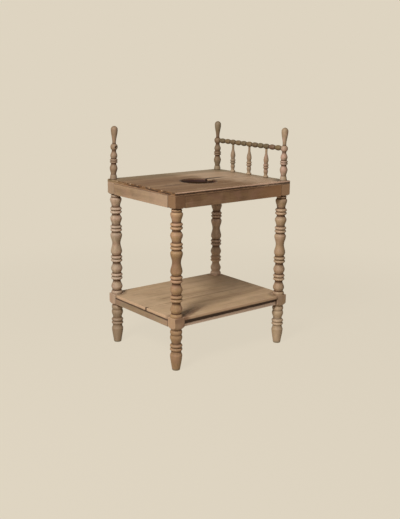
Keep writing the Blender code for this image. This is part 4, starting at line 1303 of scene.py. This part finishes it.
def boards_between(low, high, place_x, place_y, tenon_length, ease, kind):
    """Gives number, side, grain and shape of each board between the legs' blocks. Low and high are the
    corners of the front one."""
    half_height = (high.z - low.z) / 2
    half_depth = (high.y - low.y) / 2
    middle = (high.z + low.z) / 2
    places = {
        "front": (CLEAR_X, (0, -place_y, middle), 0),
        "back": (CLEAR_X, (0, place_y, middle), 0),
        "left": (CLEAR_Y, (-place_x, 0, middle), 90),
        "right": (CLEAR_Y, (place_x, 0, middle), 90),
    }
    for number, (side, (half_length, place, turn)) in enumerate(places.items()):
        seed = seed_of(kind, number)
        shape = tenoned_board(half_length, half_height, half_depth, tenon_length, ease, seed)
        shape.transform(Matrix.Translation(place) @ Matrix.Rotation(math.radians(turn), 4, "Z"))
        yield number, side, "Y" if turn else "X", shape


def apron_marks(spot, blots, clouds):
    """Soot and painted shade inside, painted shade under the top, dark joints, a rubbed lower edge, dust on
    the left and a reddish front right.
    """
    x, y, z = spot.parts()
    # Soot and painted shade on the inner faces.
    inside = abs(x).ramp(HALF_X - 0.004, HALF_X - 0.010) * abs(y).ramp(HALF_Y - 0.004, HALF_Y - 0.010)
    yield inside * 0.75, paint(66, 46, 38)
    # Painted shade along the upper edge, under the top's overhang.
    upper = (z + (blots - 0.5) * 0.005).ramp(APRON_TOP - 0.004, APRON_TOP - 0.0005)
    yield upper * 0.6, paint(58, 38, 26)
    lower = (z - (blots - 0.5) * 0.008).ramp(APRON_BOTTOM + 0.005, APRON_BOTTOM + 0.0005)
    yield lower * (0.25 + x.ramp(-0.1, 0.25) * 0.35), paint(184, 150, 122)
    dusty = x.ramp(-HALF_X + 0.02, -HALF_X + 0.01) * y.ramp(0.14, -0.16)
    yield dusty * 0.35, paint(184, 158, 134)
    red = y.ramp(-HALF_Y + 0.02, -HALF_Y + 0.01) * x.ramp(0.04, 0.26)
    yield red * 0.60, paint(168, 124, 86)
    yield block_distance(x, y).ramp(0.0040, 0.0008) * (0.15 + dusty * 0.4), paint(50, 34, 26)


class WASHSTAND_OT_aprons(Operator):
    """Make the four aprons between the head blocks"""

    bl_idname = "washstand.aprons"
    bl_label = "Aprons"

    def execute(self, context):
        settings = context.scene.washstand_boards
        half_depth = (APRON_HIGH.y - APRON_LOW.y) / 2
        boards = boards_between(
            APRON_LOW, APRON_HIGH, HALF_X - half_depth, HALF_Y - half_depth, APRON_TENON_LENGTH,
            settings.rail_ease, "apron",
        )
        for number, side, grain, shape in boards:
            colour = tuple(settings.apron_wood)
            # Painted shade on the front apron.
            if side == "front":
                colour = scaled(colour, FRONT_APRON_SHADE_TONE)
            material = wood(
                "apron_wood_" + side, colour, *APRON_WEAR, grain, grain_place("apron", number),
                ((ROSE, 0.22), (HONEY, 0.15)), apron_marks,
            )
            finish_piece(shape, "apron_board_" + side, material, ["apron_" + side])
        return {"FINISHED"}


def shelf_corners(low_y, high_y):
    """Outline of a shelf board, notched round the shelf blocks and chipped at the seam's left end."""
    front = low_y < -AXIS_Y
    seam = high_y if front else low_y
    outer = low_y if front else high_y
    inner_y = -CLEAR_Y if front else CLEAR_Y
    away = -1 if front else 1
    notch = [
        (-HALF_X + SEAM_NOTCH * inward, seam + away * SEAM_NOTCH * aside)
        for inward, aside in SEAM_NOTCH_SHARES
    ]
    return [
        (-CLEAR_X, outer), (CLEAR_X, outer), (CLEAR_X, inner_y), (HALF_X, inner_y), (HALF_X, seam),
        *notch, (-HALF_X, inner_y), (-CLEAR_X, inner_y),
    ]


def shelf_marks(spot, blots, clouds):
    """Bands and streaks, pale edges in painted light, soil round the legs, the seam's notch, painted light
    on the left end, painted shade under the edges and the front left leg's painted shadow.
    """
    x, y, z = spot.parts()
    for along, across, length, width in SHELF_STREAKS:
        streak = ellipse_mask(x, y, (along, across), (length, width))
        yield streak * blots.ramp(0.25, 0.55) * 0.6, paint(96, 70, 50)
    bands = spot.noise((2.0, 24, 24), 3.0, 0.6, 0.3)
    yield bands.ramp(0.52, 0.66) * 0.35, paint(206, 176, 142)
    yield bands.ramp(0.47, 0.34) * 0.35, paint(132, 100, 72)
    # Painted light: the shelf is lighter towards its left end.
    yield (x + (clouds - 0.5) * 0.1).ramp(-0.12, -0.27) * 0.35, paint(206, 178, 146)
    side = (HALF_Y - abs(y)).ramp(0.0016, 0.0008)
    end = (HALF_X - abs(x)).ramp(0.0016, 0.0008)
    faces = (side + end).ramp(0.2, 0.9)
    # Painted light: the edge faces are made pale.
    yield faces * 0.6, paint(196, 162, 134)
    upper = edge_distance(HALF_Y - abs(y), SHELF_HEIGHT - z) - (blots - 0.5) * 0.006
    yield upper.ramp(0.0030, 0.0006) * 0.6, paint(206, 174, 146)
    soil = edge_distance(abs(x) - AXIS_X, abs(y) - AXIS_Y) + (clouds - 0.5) * 0.03
    yield soil.ramp(0.052, 0.026) * 0.5, paint(92, 66, 48)
    # Painted shade along the lower part of the edge faces.
    under = (z - SHELF_UNDERSIDE + (blots - 0.5) * 0.003).ramp(0.0040, 0.0010)
    yield under * faces * 0.75, paint(58, 38, 28)
    seam = abs(y - SHELF_JOINT_Y).ramp(0.0030, 0.0006)
    yield seam * blots.ramp(0.3, 0.6) * 0.5, paint(84, 60, 44)
    notch = edge_distance(x + HALF_X - 0.004, (y - SHELF_JOINT_Y) * 2.0).ramp(0.014, 0.008)
    yield notch * 0.85, paint(60, 40, 28)
    # Painted shadow of the front left leg: a dark streak on the shelf along the lamp's way.
    along = (x - PAINTED_SHADOW_START[0]) * PAINTED_SHADOW_WAY[0] + (y - PAINTED_SHADOW_START[1]) * PAINTED_SHADOW_WAY[1]
    across = (y - PAINTED_SHADOW_START[1]) * PAINTED_SHADOW_WAY[0] - (x - PAINTED_SHADOW_START[0]) * PAINTED_SHADOW_WAY[1]
    leg_shadow = (abs(across) + along * 0.06).ramp(0.024, 0.012)
    leg_shadow = leg_shadow * along.ramp(0.22, 0.10) * along.ramp(-0.02, 0.0)
    yield leg_shadow * 0.60, paint(112, 74, 54)


def rail_marks(spot, blots, clouds):
    """Darker inner faces, painted shade under the shelf, and the front rail's painted shadow above and
    painted light below.
    """
    x, y, z = spot.parts()
    top = RAIL_HIGH.z
    inside = abs(x).ramp(HALF_X - 0.004, HALF_X - 0.010) * abs(y).ramp(HALF_Y - 0.016, HALF_Y - 0.022)
    yield inside * 0.6, paint(78, 56, 44)
    # Painted shade along the upper edge, under the shelf.
    upper = (z + (blots - 0.5) * 0.004).ramp(top - 0.0060, top - 0.0020)
    yield upper * 0.85, paint(50, 33, 25)
    # Front rail: a painted shadow of the shelf's edge on the upper part, and painted light on the lower
    # strip.
    front = y.ramp(RAIL_LOW.y + 0.004, RAIL_LOW.y + 0.001)
    dark = (z - x * 0.008 + (blots - 0.5) * 0.003).ramp(top - 0.0170, top - 0.0130)
    yield front * (1 - dark) * 0.90, paint(236, 208, 190)
    yield front * dark * 0.90, paint(52, 31, 25)
    yield block_distance(x, y).ramp(0.0040, 0.0008) * 0.6, paint(54, 37, 28)


def nail_shape(place, seed):
    """A cut nail with an uneven head."""
    points = [
        (0, NAIL_CROWN), (NAIL_HEAD_RADIUS * 0.5, NAIL_CROWN), (NAIL_HEAD_RADIUS * 0.85, -NAIL_CROWN),
        (NAIL_HEAD_RADIUS, -NAIL_HEAD_EDGE), (NAIL_HEAD_RADIUS, -NAIL_HEAD_THICKNESS),
        (NAIL_RADIUS, -NAIL_HEAD_THICKNESS), (NAIL_RADIUS, -NAIL_LENGTH * 0.8),
        (NAIL_RADIUS * 0.4, -NAIL_LENGTH * 0.98), (0, -NAIL_LENGTH),
    ]
    shape = spin_outline(points, NAIL_STEPS)
    for vert in shape.verts:
        vert.co.x += noise.noise(vert.co * NAIL_SCALE + Vector((seed, 0, 0))) * NAIL_UNEVENNESS
        vert.co.y += noise.noise(vert.co * NAIL_SCALE + Vector((0, seed, 0))) * NAIL_UNEVENNESS
    move(shape, place)
    return shape


class WASHSTAND_OT_shelf(Operator):
    """Make the shelf: two boards, four rails and the nails"""

    bl_idname = "washstand.shelf"
    bl_label = "Shelf"

    def execute(self, context):
        settings = context.scene.washstand_boards
        spans = {"front": (-HALF_Y, SHELF_JOINT_Y - GAP / 2), "rear": (SHELF_JOINT_Y + GAP / 2, HALF_Y)}
        for number, (board, (low_y, high_y)) in enumerate(spans.items()):
            shape = slab(shelf_corners(low_y, high_y), SHELF_UNDERSIDE, SHELF_HEIGHT, settings.shelf_ease)
            slice_region(shape, "X", -HALF_X + SHELF_MARGIN, HALF_X - SHELF_MARGIN, settings.grid)
            slice_region(shape, "Y", low_y + SHELF_MARGIN, high_y - SHELF_MARGIN, settings.grid)
            warp(shape, SHELF_WARP, seed_of("shelf_warp", number))
            material = wood(
                "shelf_wood_" + board, tuple(settings.shelf_wood), *SHELF_WEAR, "X",
                grain_place("shelf", number), ((ROSE, 0.10), (HONEY, 0.15)), shelf_marks, gloss=0.56,
            )
            finish_piece(shape, "worn_shelf_" + board, material, ["shelf_board_" + board])
        self.make_rails(settings)
        self.make_nails()
        return {"FINISHED"}

    def make_rails(self, settings):
        """The rails under the shelf, between the legs' lower blocks."""
        rail_y = -(RAIL_LOW.y + RAIL_HIGH.y) / 2
        rail_x = -(SIDE_RAIL_LOW.x + SIDE_RAIL_HIGH.x) / 2
        boards = boards_between(
            RAIL_LOW, RAIL_HIGH, rail_x, rail_y, RAIL_TENON_LENGTH, settings.rail_ease, "rail"
        )
        for number, side, grain, shape in boards:
            tone = SIDE_RAIL_TONE if side in ("left", "right") else LONG_RAIL_TONE
            material = wood(
                "rail_wood_" + side, scaled(tuple(settings.shelf_wood), tone), *RAIL_WEAR, grain,
                grain_place("rail", number), ((ROSE, 0.30), (ASH, 0.2)), rail_marks,
            )
            finish_piece(shape, "rail_board_" + side, material, ["shelf_rail_" + side])

    def make_nails(self):
        """Two nails through each end of each shelf board."""
        material = iron("nail_iron")
        for end in ("left", "right"):
            for board in ("front", "rear"):
                for number in (1, 2):
                    node = f"shelf_nail_{end}_{board}_{number}"
                    low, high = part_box(node)
                    place = ((low.x + high.x) / 2, (low.y + high.y) / 2, SHELF_HEIGHT)
                    shape = nail_shape(place, number + low.x * 10 + low.y * 10)
                    finish_piece(shape, node.replace("shelf_nail", "cut_nail"), material, [node])


def post_outline(settings):
    """A gallery post from the finial down to its tenon, with the seat on the top at height zero."""
    radius = settings.post_radius
    ball_top = BALL_RISE + BALL_HALF_HEIGHT
    ball_bottom = BALL_RISE - BALL_HALF_HEIGHT
    ball_shares = (
        (0, FINIAL_SHARES[-1][1], "line"),
        (1, POST_STEM_SHARES[0][1], "ball", settings.ball_radius / radius),
    )
    points = outline(FINIAL_SHARES, POST_HEIGHT, POST_HEIGHT - ball_top, radius)
    points += outline(ball_shares, ball_top, ball_top - ball_bottom, radius)[1:]
    points += outline(POST_STEM_SHARES, ball_bottom, ball_bottom - GAP, radius)[1:]
    points += [(POST_TENON_RADIUS, GAP), (POST_TENON_RADIUS, -POST_TENON_LENGTH), (0, -POST_TENON_LENGTH)]
    return points


def cut_away(shape, cutters):
    """Cuts helper solids out of a closed bmesh and removes the helpers."""
    body = mesh_object(shape, "body")
    for helper in cutters:
        modifier = body.modifiers.new("Cut", "BOOLEAN")
        modifier.object = helper
    evaluated = body.evaluated_get(bpy.context.evaluated_depsgraph_get())
    cut = bmesh.new()
    cut.from_mesh(bpy.data.meshes.new_from_object(evaluated))
    for helper in (body, *cutters):
        bpy.data.objects.remove(helper)
    return cut


def socket_cutter(ball, radius, side_y):
    """The bore in a post's ball for a rail's tenon."""
    shape = bmesh.new()
    depth = ROD_TENON_LENGTH + GAP
    bmesh.ops.create_cone(
        shape, cap_ends=True, segments=SOCKET_STEPS, radius1=ROD_TENON_RADIUS + GAP,
        radius2=ROD_TENON_RADIUS + GAP, depth=2 * depth,
    )
    shape.transform(Matrix.Rotation(math.radians(90), 4, "X"))
    move(shape, ball + Vector((0, -side_y * radius, 0)))
    return mesh_object(shape, "socket")


def break_cutter(ball, radius):
    """The rough lump that broke out of the left post's ball."""
    shape = bmesh.new()
    bmesh.ops.create_cube(shape, size=CHIP_SIDE)
    bmesh.ops.subdivide_edges(shape, edges=list(shape.edges), cuts=CHIP_CUTS, use_grid_fill=True)
    roughen(shape, CHIP_SCALE, CHIP_ROUGHNESS, (0, 5, 9), 7)
    place = ball + radius * Vector(CHIP_PLACE_SHARES)
    shape.transform(Matrix.Translation(place) @ Euler(CHIP_TURN).to_matrix().to_4x4())
    return mesh_object(shape, "break")


POST_LOOKS = {
    "front_right": ((1.02, 1.18, 1.38), ((HONEY, 0.20), (paint(192, 152, 136), 0.55))),
    "back_left": ((0.80, 0.86, 0.92), ((ASH, 0.25), (ROSE, 0.20))),
    "back_right": ((0.72, 0.76, 0.78), ((OLIVE, 0.30), (ASH, 0.25))),
}


def seat_marks(spot, blots, clouds):
    """The pale foot ring of a post or spindle, and soil round its seat."""
    height = spot.parts()[2] - TOP_HEIGHT
    ring = abs(height - 0.0095).ramp(0.0080, 0.0045) * spot.parts()[0].ramp(-0.1, 0.1)
    yield ring * blots.ramp(0.2, 0.5) * 0.25, paint(206, 184, 150)
    yield height.ramp(0.0030, 0.0010) * 0.6, paint(70, 52, 38)


def post_place(corner):
    """Middle of a post's seat on the top."""
    side_x, side_y = CORNERS[corner]
    if side_x < 0:
        return Vector((LEFT_POST_X, side_y * LEFT_POST_Y, TOP_HEIGHT))
    return Vector((GALLERY_X, side_y * GALLERY_Y, TOP_HEIGHT))


def stub_shape(place):
    """The tenon of the lost post, broken off in its bore."""
    points = [(0, STUB_RISE)] + [(POST_TENON_RADIUS * share, STUB_RISE) for share in STUB_RING_SHARES]
    points += [(POST_TENON_RADIUS, STUB_RISE - STUB_BREAK)]
    points += [(POST_TENON_RADIUS, -POST_TENON_LENGTH), (0, -POST_TENON_LENGTH)]
    shape = spin_outline(points, STUB_STEPS)
    for vert in shape.verts:
        if vert.co.z > 0:
            vert.co.z += noise.noise(vert.co * STUB_BREAK_SCALE) * STUB_BREAK
    move(shape, place)
    return shape


class WASHSTAND_OT_posts(Operator):
    """Turn the three gallery posts and the stub of the fourth"""

    bl_idname = "washstand.posts"
    bl_label = "Posts"

    def execute(self, context):
        settings = context.scene.washstand_turnings
        lean_axis = (math.cos(POST_LEAN_TURN + math.pi / 2), math.sin(POST_LEAN_TURN + math.pi / 2), 0)
        lean = Matrix.Rotation(POST_LEAN, 4, Vector(lean_axis))
        lift = math.sin(POST_LEAN) * settings.post_radius
        foot_margin, head_margin = POST_DENT_MARGINS
        for number, (corner, (_, side_y)) in enumerate(CORNERS.items()):
            place = post_place(corner)
            if corner == "front_left":
                self.make_stub(settings, place)
                continue
            shape = spin_outline(post_outline(settings), settings.post_steps)
            hand_turn(shape, seed_of("post", number), POST_DRIFT, POST_RIPPLE, [(-1, 2 * GAP)])
            shape.normal_update()
            dent(
                shape, seed_of("post_dents", number), POST_DENTS, POST_DENT_SIZE, POST_DENT_DEPTH,
                foot_margin, POST_HEIGHT - head_margin,
            )
            if corner == "back_left":
                ball = Vector((0, 0, BALL_RISE))
                radius = settings.ball_radius
                shape = cut_away(shape, [socket_cutter(ball, radius, side_y), break_cutter(ball, radius)])
                shape.transform(lean)
                place.z += lift
            move(shape, place)
            tone, tints = POST_LOOKS[corner]
            material = wood(
                "post_wood_" + corner, *turned_colours(settings, tone), "Z", grain_place("post", number),
                tints, seat_marks,
            )
            finish_piece(shape, "turned_post_" + corner, material, ["post_" + corner])
        return {"FINISHED"}

    def make_stub(self, settings, place):
        """The stub with its old, dark wood."""
        material = wood("stub_wood", *STUB_WOOD, tuple(settings.dirt), "Z", grain_place("stub"))
        finish_piece(stub_shape(place), "broken_stub", material, ["post_stub_front_left"])


def bead_pitch(settings):
    """Distance from one bead of the gallery rail to the next."""
    return 2 * (GALLERY_Y - settings.ball_radius - GAP - RAIL_END_NECK) / BEAD_COUNT


def rod_outline(settings):
    """The beaded gallery rail along its own axis, from one tenon to the other."""
    half_length = GALLERY_Y - settings.ball_radius - GAP
    end = half_length + ROD_TENON_LENGTH
    neck = BEAD_NECK_SHARE * settings.bead_radius
    pitch = bead_pitch(settings)
    points = [(0, end), (ROD_TENON_RADIUS, end), (ROD_TENON_RADIUS, half_length), (neck, half_length)]
    bead_shares = ((0, BEAD_NECK_SHARE, "line"), (1, BEAD_NECK_SHARE, "ball", 1.0))
    for number in range(BEAD_COUNT):
        top = pitch * (BEAD_COUNT / 2 - number) - BEAD_GROOVE / 2
        points += outline(bead_shares, top, pitch - BEAD_GROOVE, settings.bead_radius)
    points += [(neck, -half_length), (ROD_TENON_RADIUS, -half_length), (ROD_TENON_RADIUS, -end), (0, -end)]
    return points


def spindle_outline(settings):
    """A spindle from its head tenon in the rail to its foot tenon in the top."""
    seat = TOP_HEIGHT + GAP
    head = BALL_HEIGHT - settings.bead_radius - GAP
    upper = head + SPINDLE_HEAD_TENON
    lower = TOP_HEIGHT - SPINDLE_FOOT_TENON
    points = [(0, upper), (SPINDLE_TENON_RADIUS, upper), (SPINDLE_TENON_RADIUS, head)]
    points += outline(SPINDLE_SHARES, head, head - seat, settings.spindle_radius)
    points += [(SPINDLE_TENON_RADIUS, seat), (SPINDLE_TENON_RADIUS, lower), (0, lower)]
    return points


class WASHSTAND_OT_gallery(Operator):
    """Turn the beaded rail, its spindles and its pins"""

    bl_idname = "washstand.gallery"
    bl_label = "Gallery"

    def execute(self, context):
        settings = context.scene.washstand_turnings
        shape = spin_outline(rod_outline(settings), ROD_STEPS, ROD_SOIL_SHARE)
        solid = GALLERY_Y - settings.ball_radius - GAP
        hand_turn(shape, seed_of("beads"), ROD_DRIFT, ROD_RIPPLE, [(-1, -solid), (solid, 1)])
        turn = Matrix.Rotation(math.radians(90), 4, "X")
        shape.transform(Matrix.Translation((GALLERY_X, 0, BALL_HEIGHT)) @ turn)
        material = wood(
            "rail_wood", *turned_colours(settings, BEADS_TONE), "Y", grain_place("beads"), ((OLIVE, 0.15),),
            self.bead_marks(bead_pitch(settings)),
        )
        finish_piece(shape, "beaded_rail", material, ["gallery_rail"])
        for number in range(SPINDLE_COUNT):
            shape = spin_outline(spindle_outline(settings), SPINDLE_STEPS, SPINDLE_SOIL_SHARE)
            still = [(-1, TOP_HEIGHT + SPINDLE_SEAT)]
            hand_turn(shape, seed_of("spindle", number), SPINDLE_DRIFT, SPINDLE_RIPPLE, still)
            offset = (number - (SPINDLE_COUNT - 1) / 2) * BEADS_PER_SPINDLE * bead_pitch(settings)
            move(shape, (GALLERY_X, offset, 0))
            name = f"spindle_{number + 1}"
            material = wood(
                name + "_wood", *turned_colours(settings, SPINDLE_TONE), "Z",
                grain_place("spindle", number), SPINDLE_TINTS[number], seat_marks,
            )
            finish_piece(shape, "turned_" + name, material, ["gallery_" + name])
        self.make_pins(settings)
        return {"FINISHED"}

    def bead_marks(self, pitch):
        """Gives every bead of the rail a tint of its own."""
        def marks(spot, blots, clouds):
            bead = spot.sum("FLOOR", spot.parts()[1] / pitch + BEAD_COUNT / 2)
            draw = spot.node("ShaderNodeTexWhiteNoise", {"noise_dimensions": "1D"}, {"W": bead})
            for tint, low in ((ROSE, 0.0), (HONEY, 0.33), (OLIVE, 0.66)):
                yield abs(draw - low - 0.17).ramp(0.18, 0.12) * 0.20, tint
            share = spot.parts()[1] / pitch + BEAD_COUNT / 2 - bead
            yield abs(share - 0.5).ramp(0.42, 0.49) * 0.75, paint(46, 36, 28)
        return marks

    def make_pins(self, settings):
        """Pegs from the inner side of each ball into the rail's tenon."""
        depth = settings.ball_radius - ROD_TENON_LENGTH / 2
        outer = math.sqrt(settings.ball_radius ** 2 - depth ** 2) + PIN_HEAD_RISE
        inner = ROD_TENON_RADIUS * (1 - PIN_BITE_SHARE)
        material = wood("pin_wood", *PIN_WOOD, tuple(settings.dirt), "X", grain_place("pin"))
        points = [
            (0, outer), (PIN_RADIUS * 0.6, outer - PIN_HEAD_CROWN), (PIN_RADIUS, outer - PIN_HEAD_EASE),
            (PIN_RADIUS, inner), (0, inner),
        ]
        for corner, side in (("front_right", 1), ("back_right", -1)):
            shape = spin_outline(points, PIN_STEPS)
            turn = Matrix.Rotation(math.radians(-90), 4, "Y")
            ball_y = -side * GALLERY_Y + side * depth
            shape.transform(Matrix.Translation((GALLERY_X, ball_y, BALL_HEIGHT)) @ turn)
            finish_piece(shape, "rail_peg_" + corner, material, ["rail_pin_" + corner])


def glue_block_shape(low, high, inward):
    """A block in the corner under the top, with a wide chamfer on its free edge."""
    shape = bmesh.new()
    shape.verts.layers.float.new("wear")
    size = high - low
    middle = (low + high) / 2
    bmesh.ops.create_cube(
        shape, size=1, matrix=Matrix.Translation(middle) @ Matrix.Diagonal((*size, 1))
    )
    free = [
        edge for edge in shape.edges
        if all((vert.co - middle).dot(inward) > 0 and vert.co.z < middle.z for vert in edge.verts)
    ]
    round_edges(shape, free, size.z * GLUE_BLOCK_CHAMFER_SHARE, segments=1)
    round_edges(shape, list(shape.edges), GLUE_BLOCK_EASE, segments=2)
    margin, step = GLUE_BLOCK_CUTS
    slice_region(shape, "X", low.x + margin, high.x - margin, step)
    slice_region(shape, "Y", low.y + margin, high.y - margin, step)
    roughen(shape, GLUE_BLOCK_SCALE, GLUE_BLOCK_UNEVENNESS, (0, 4, 8), 3)
    return shape


class WASHSTAND_OT_glue_blocks(Operator):
    """Make the glue blocks that hold the top from below"""

    bl_idname = "washstand.glue_blocks"
    bl_label = "Glue blocks"

    def execute(self, context):
        settings = context.scene.washstand_boards
        inward = {"front": (0, 1), "back": (0, -1), "left": (1, 0), "right": (-1, 0)}
        names = ("front_left", "front_right", "back_left", "back_right", "left", "right")
        for number, name in enumerate(names):
            node = "glue_block_" + name
            low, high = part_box(node)
            way = Vector((*inward[name.split("_")[0]], 0))
            material = wood(
                node + "_wood", tuple(settings.bare_wood), *GLUE_BLOCK_WEAR, "Y" if way.x else "X",
                grain_place("glue_block", number), gloss=0.68,
            )
            shape = glue_block_shape(low, high, way)
            finish_piece(shape, "rubbed_" + node, material, [node])
        return {"FINISHED"}


def camera_matrix():
    """Place and aim of the camera, with its small roll."""
    forward = Vector((
        -math.sin(CAMERA_YAW) * math.cos(CAMERA_PITCH),
        math.cos(CAMERA_YAW) * math.cos(CAMERA_PITCH),
        -math.sin(CAMERA_PITCH),
    ))
    right = Vector((math.cos(CAMERA_YAW), math.sin(CAMERA_YAW), 0))
    upward = right.cross(forward)
    across = right * math.cos(CAMERA_ROLL) + upward * math.sin(CAMERA_ROLL)
    up = upward * math.cos(CAMERA_ROLL) - right * math.sin(CAMERA_ROLL)
    aim = Matrix((across, up, -forward)).transposed().to_4x4()
    return Matrix.Translation(CAMERA_PLACE) @ aim


class WASHSTAND_OT_stage(Operator):
    """Set up the floor, the backdrop, the lamp and the camera"""

    bl_idname = "washstand.stage"
    bl_label = "Stage"

    def execute(self, context):
        settings = context.scene.washstand_stage
        self.make_floor(settings)
        self.make_world(context.scene, settings)
        self.make_lamp(settings)
        self.make_camera(context.scene)
        context.scene.view_settings.view_transform = "Standard"
        return {"FINISHED"}

    def make_floor(self, settings):
        """A wide floor whose far part takes the backdrop's colour."""
        shape = bmesh.new()
        bmesh.ops.create_circle(shape, cap_ends=True, segments=64, radius=FLOOR_RADIUS)
        move(shape, (0, 0, -FLOOR_DROP))
        floor = mesh_object(shape, "floor")
        material = bpy.data.materials.new("floor_matt")
        material.use_nodes = True
        tree = material.node_tree
        tree.nodes.remove(tree.nodes["Principled BSDF"])
        start = Value(tree)
        colour = (*settings.backdrop, 1.0)
        x, y, _ = start.node("ShaderNodeTexCoord", output=3).parts()
        far = (x * x + y * y).ramp(*FLOOR_FADE)
        share = (FLOOR_GLOW + far * (1 - FLOOR_GLOW)) * self.seen_ray(start)
        matt = start.node("ShaderNodeBsdfDiffuse", None, {"Color": colour})
        glow = start.node("ShaderNodeEmission", None, {"Color": colour, "Strength": 1.0})
        surface = start.node("ShaderNodeMixShader", None, {0: share, 1: matt, 2: glow})
        tree.links.new(surface.socket, tree.nodes["Material Output"].inputs["Surface"])
        floor.data.materials.append(material)

    def seen_ray(self, start):
        """1 for rays that show the backdrop itself, 0 for those that carry its light."""
        names = ("Is Camera Ray", "Is Glossy Ray", "Is Transmission Ray")
        camera, glossy, through = [start.node("ShaderNodeLightPath", output=name) for name in names]
        return (camera + glossy + through).ramp(0.0, 1.0)

    def make_world(self, scene, settings):
        """The backdrop's colour where it is seen, and soft light from all round."""
        world = bpy.data.worlds.new("studio")
        world.use_nodes = True
        scene.world = world
        tree = world.node_tree
        tree.nodes.clear()
        start = Value(tree)
        backdrop = (*settings.backdrop, 1.0)
        seen = start.node("ShaderNodeBackground", None, {"Color": backdrop, "Strength": 1.0})
        light = start.node("ShaderNodeBackground", None, {"Color": FILL_COLOUR, "Strength": settings.fill})
        surface = start.node("ShaderNodeMixShader", None, {0: self.seen_ray(start), 1: light, 2: seen})
        output = tree.nodes.new("ShaderNodeOutputWorld")
        tree.links.new(surface.socket, output.inputs["Surface"])

    def make_lamp(self, settings):
        """One large soft lamp to the left of the front."""
        lamp = bpy.data.lights.new("key", "AREA")
        lamp.size = settings.key_size
        lamp.energy = settings.key_power
        lamp.color = LAMP_COLOUR
        holder = bpy.data.objects.new("key", lamp)
        direction = Vector(LAMP_WAY).normalized()
        holder.location = Vector(LAMP_TARGET) + direction * LAMP_DISTANCE
        holder.rotation_euler = (-direction).to_track_quat("-Z", "Y").to_euler()
        bpy.context.scene.collection.objects.link(holder)

    def make_camera(self, scene):
        """The camera at the picture's place."""
        lens = bpy.data.cameras.new("camera")
        lens.sensor_width = SENSOR
        lens.lens = CAMERA_FOCUS * SENSOR / PICTURE_HEIGHT
        holder = bpy.data.objects.new("camera", lens)
        holder.matrix_world = camera_matrix()
        scene.collection.objects.link(holder)
        scene.camera = holder


STEPS = (
    WASHSTAND_OT_stage,
    WASHSTAND_OT_legs,
    WASHSTAND_OT_aprons,
    WASHSTAND_OT_top,
    WASHSTAND_OT_shelf,
    WASHSTAND_OT_posts,
    WASHSTAND_OT_gallery,
    WASHSTAND_OT_glue_blocks,
)
SETTINGS = {
    "washstand_turnings": TurningSettings,
    "washstand_boards": BoardSettings,
    "washstand_stage": StageSettings,
}


class WASHSTAND_PT_panel(Panel):
    """The washstand's pieces, in the order in which they are made"""

    bl_idname = "WASHSTAND_PT_panel"
    bl_label = "Washstand"
    bl_space_type = "VIEW_3D"
    bl_region_type = "UI"
    bl_category = "Washstand"

    def draw(self, context):
        for step in STEPS:
            self.layout.operator(step.bl_idname)


def register():
    for kind in (*SETTINGS.values(), *STEPS, WASHSTAND_PT_panel):
        bpy.utils.register_class(kind)
    for name, kind in SETTINGS.items():
        setattr(bpy.types.Scene, name, PointerProperty(type=kind))


def unregister():
    for name in SETTINGS:
        delattr(bpy.types.Scene, name)
    for kind in (WASHSTAND_PT_panel, *reversed(STEPS), *SETTINGS.values()):
        bpy.utils.unregister_class(kind)


def main():
    register()
    for step in STEPS:
        group, action = step.bl_idname.split(".")
        getattr(getattr(bpy.ops, group), action)()


if __name__ == "__main__":
    main()
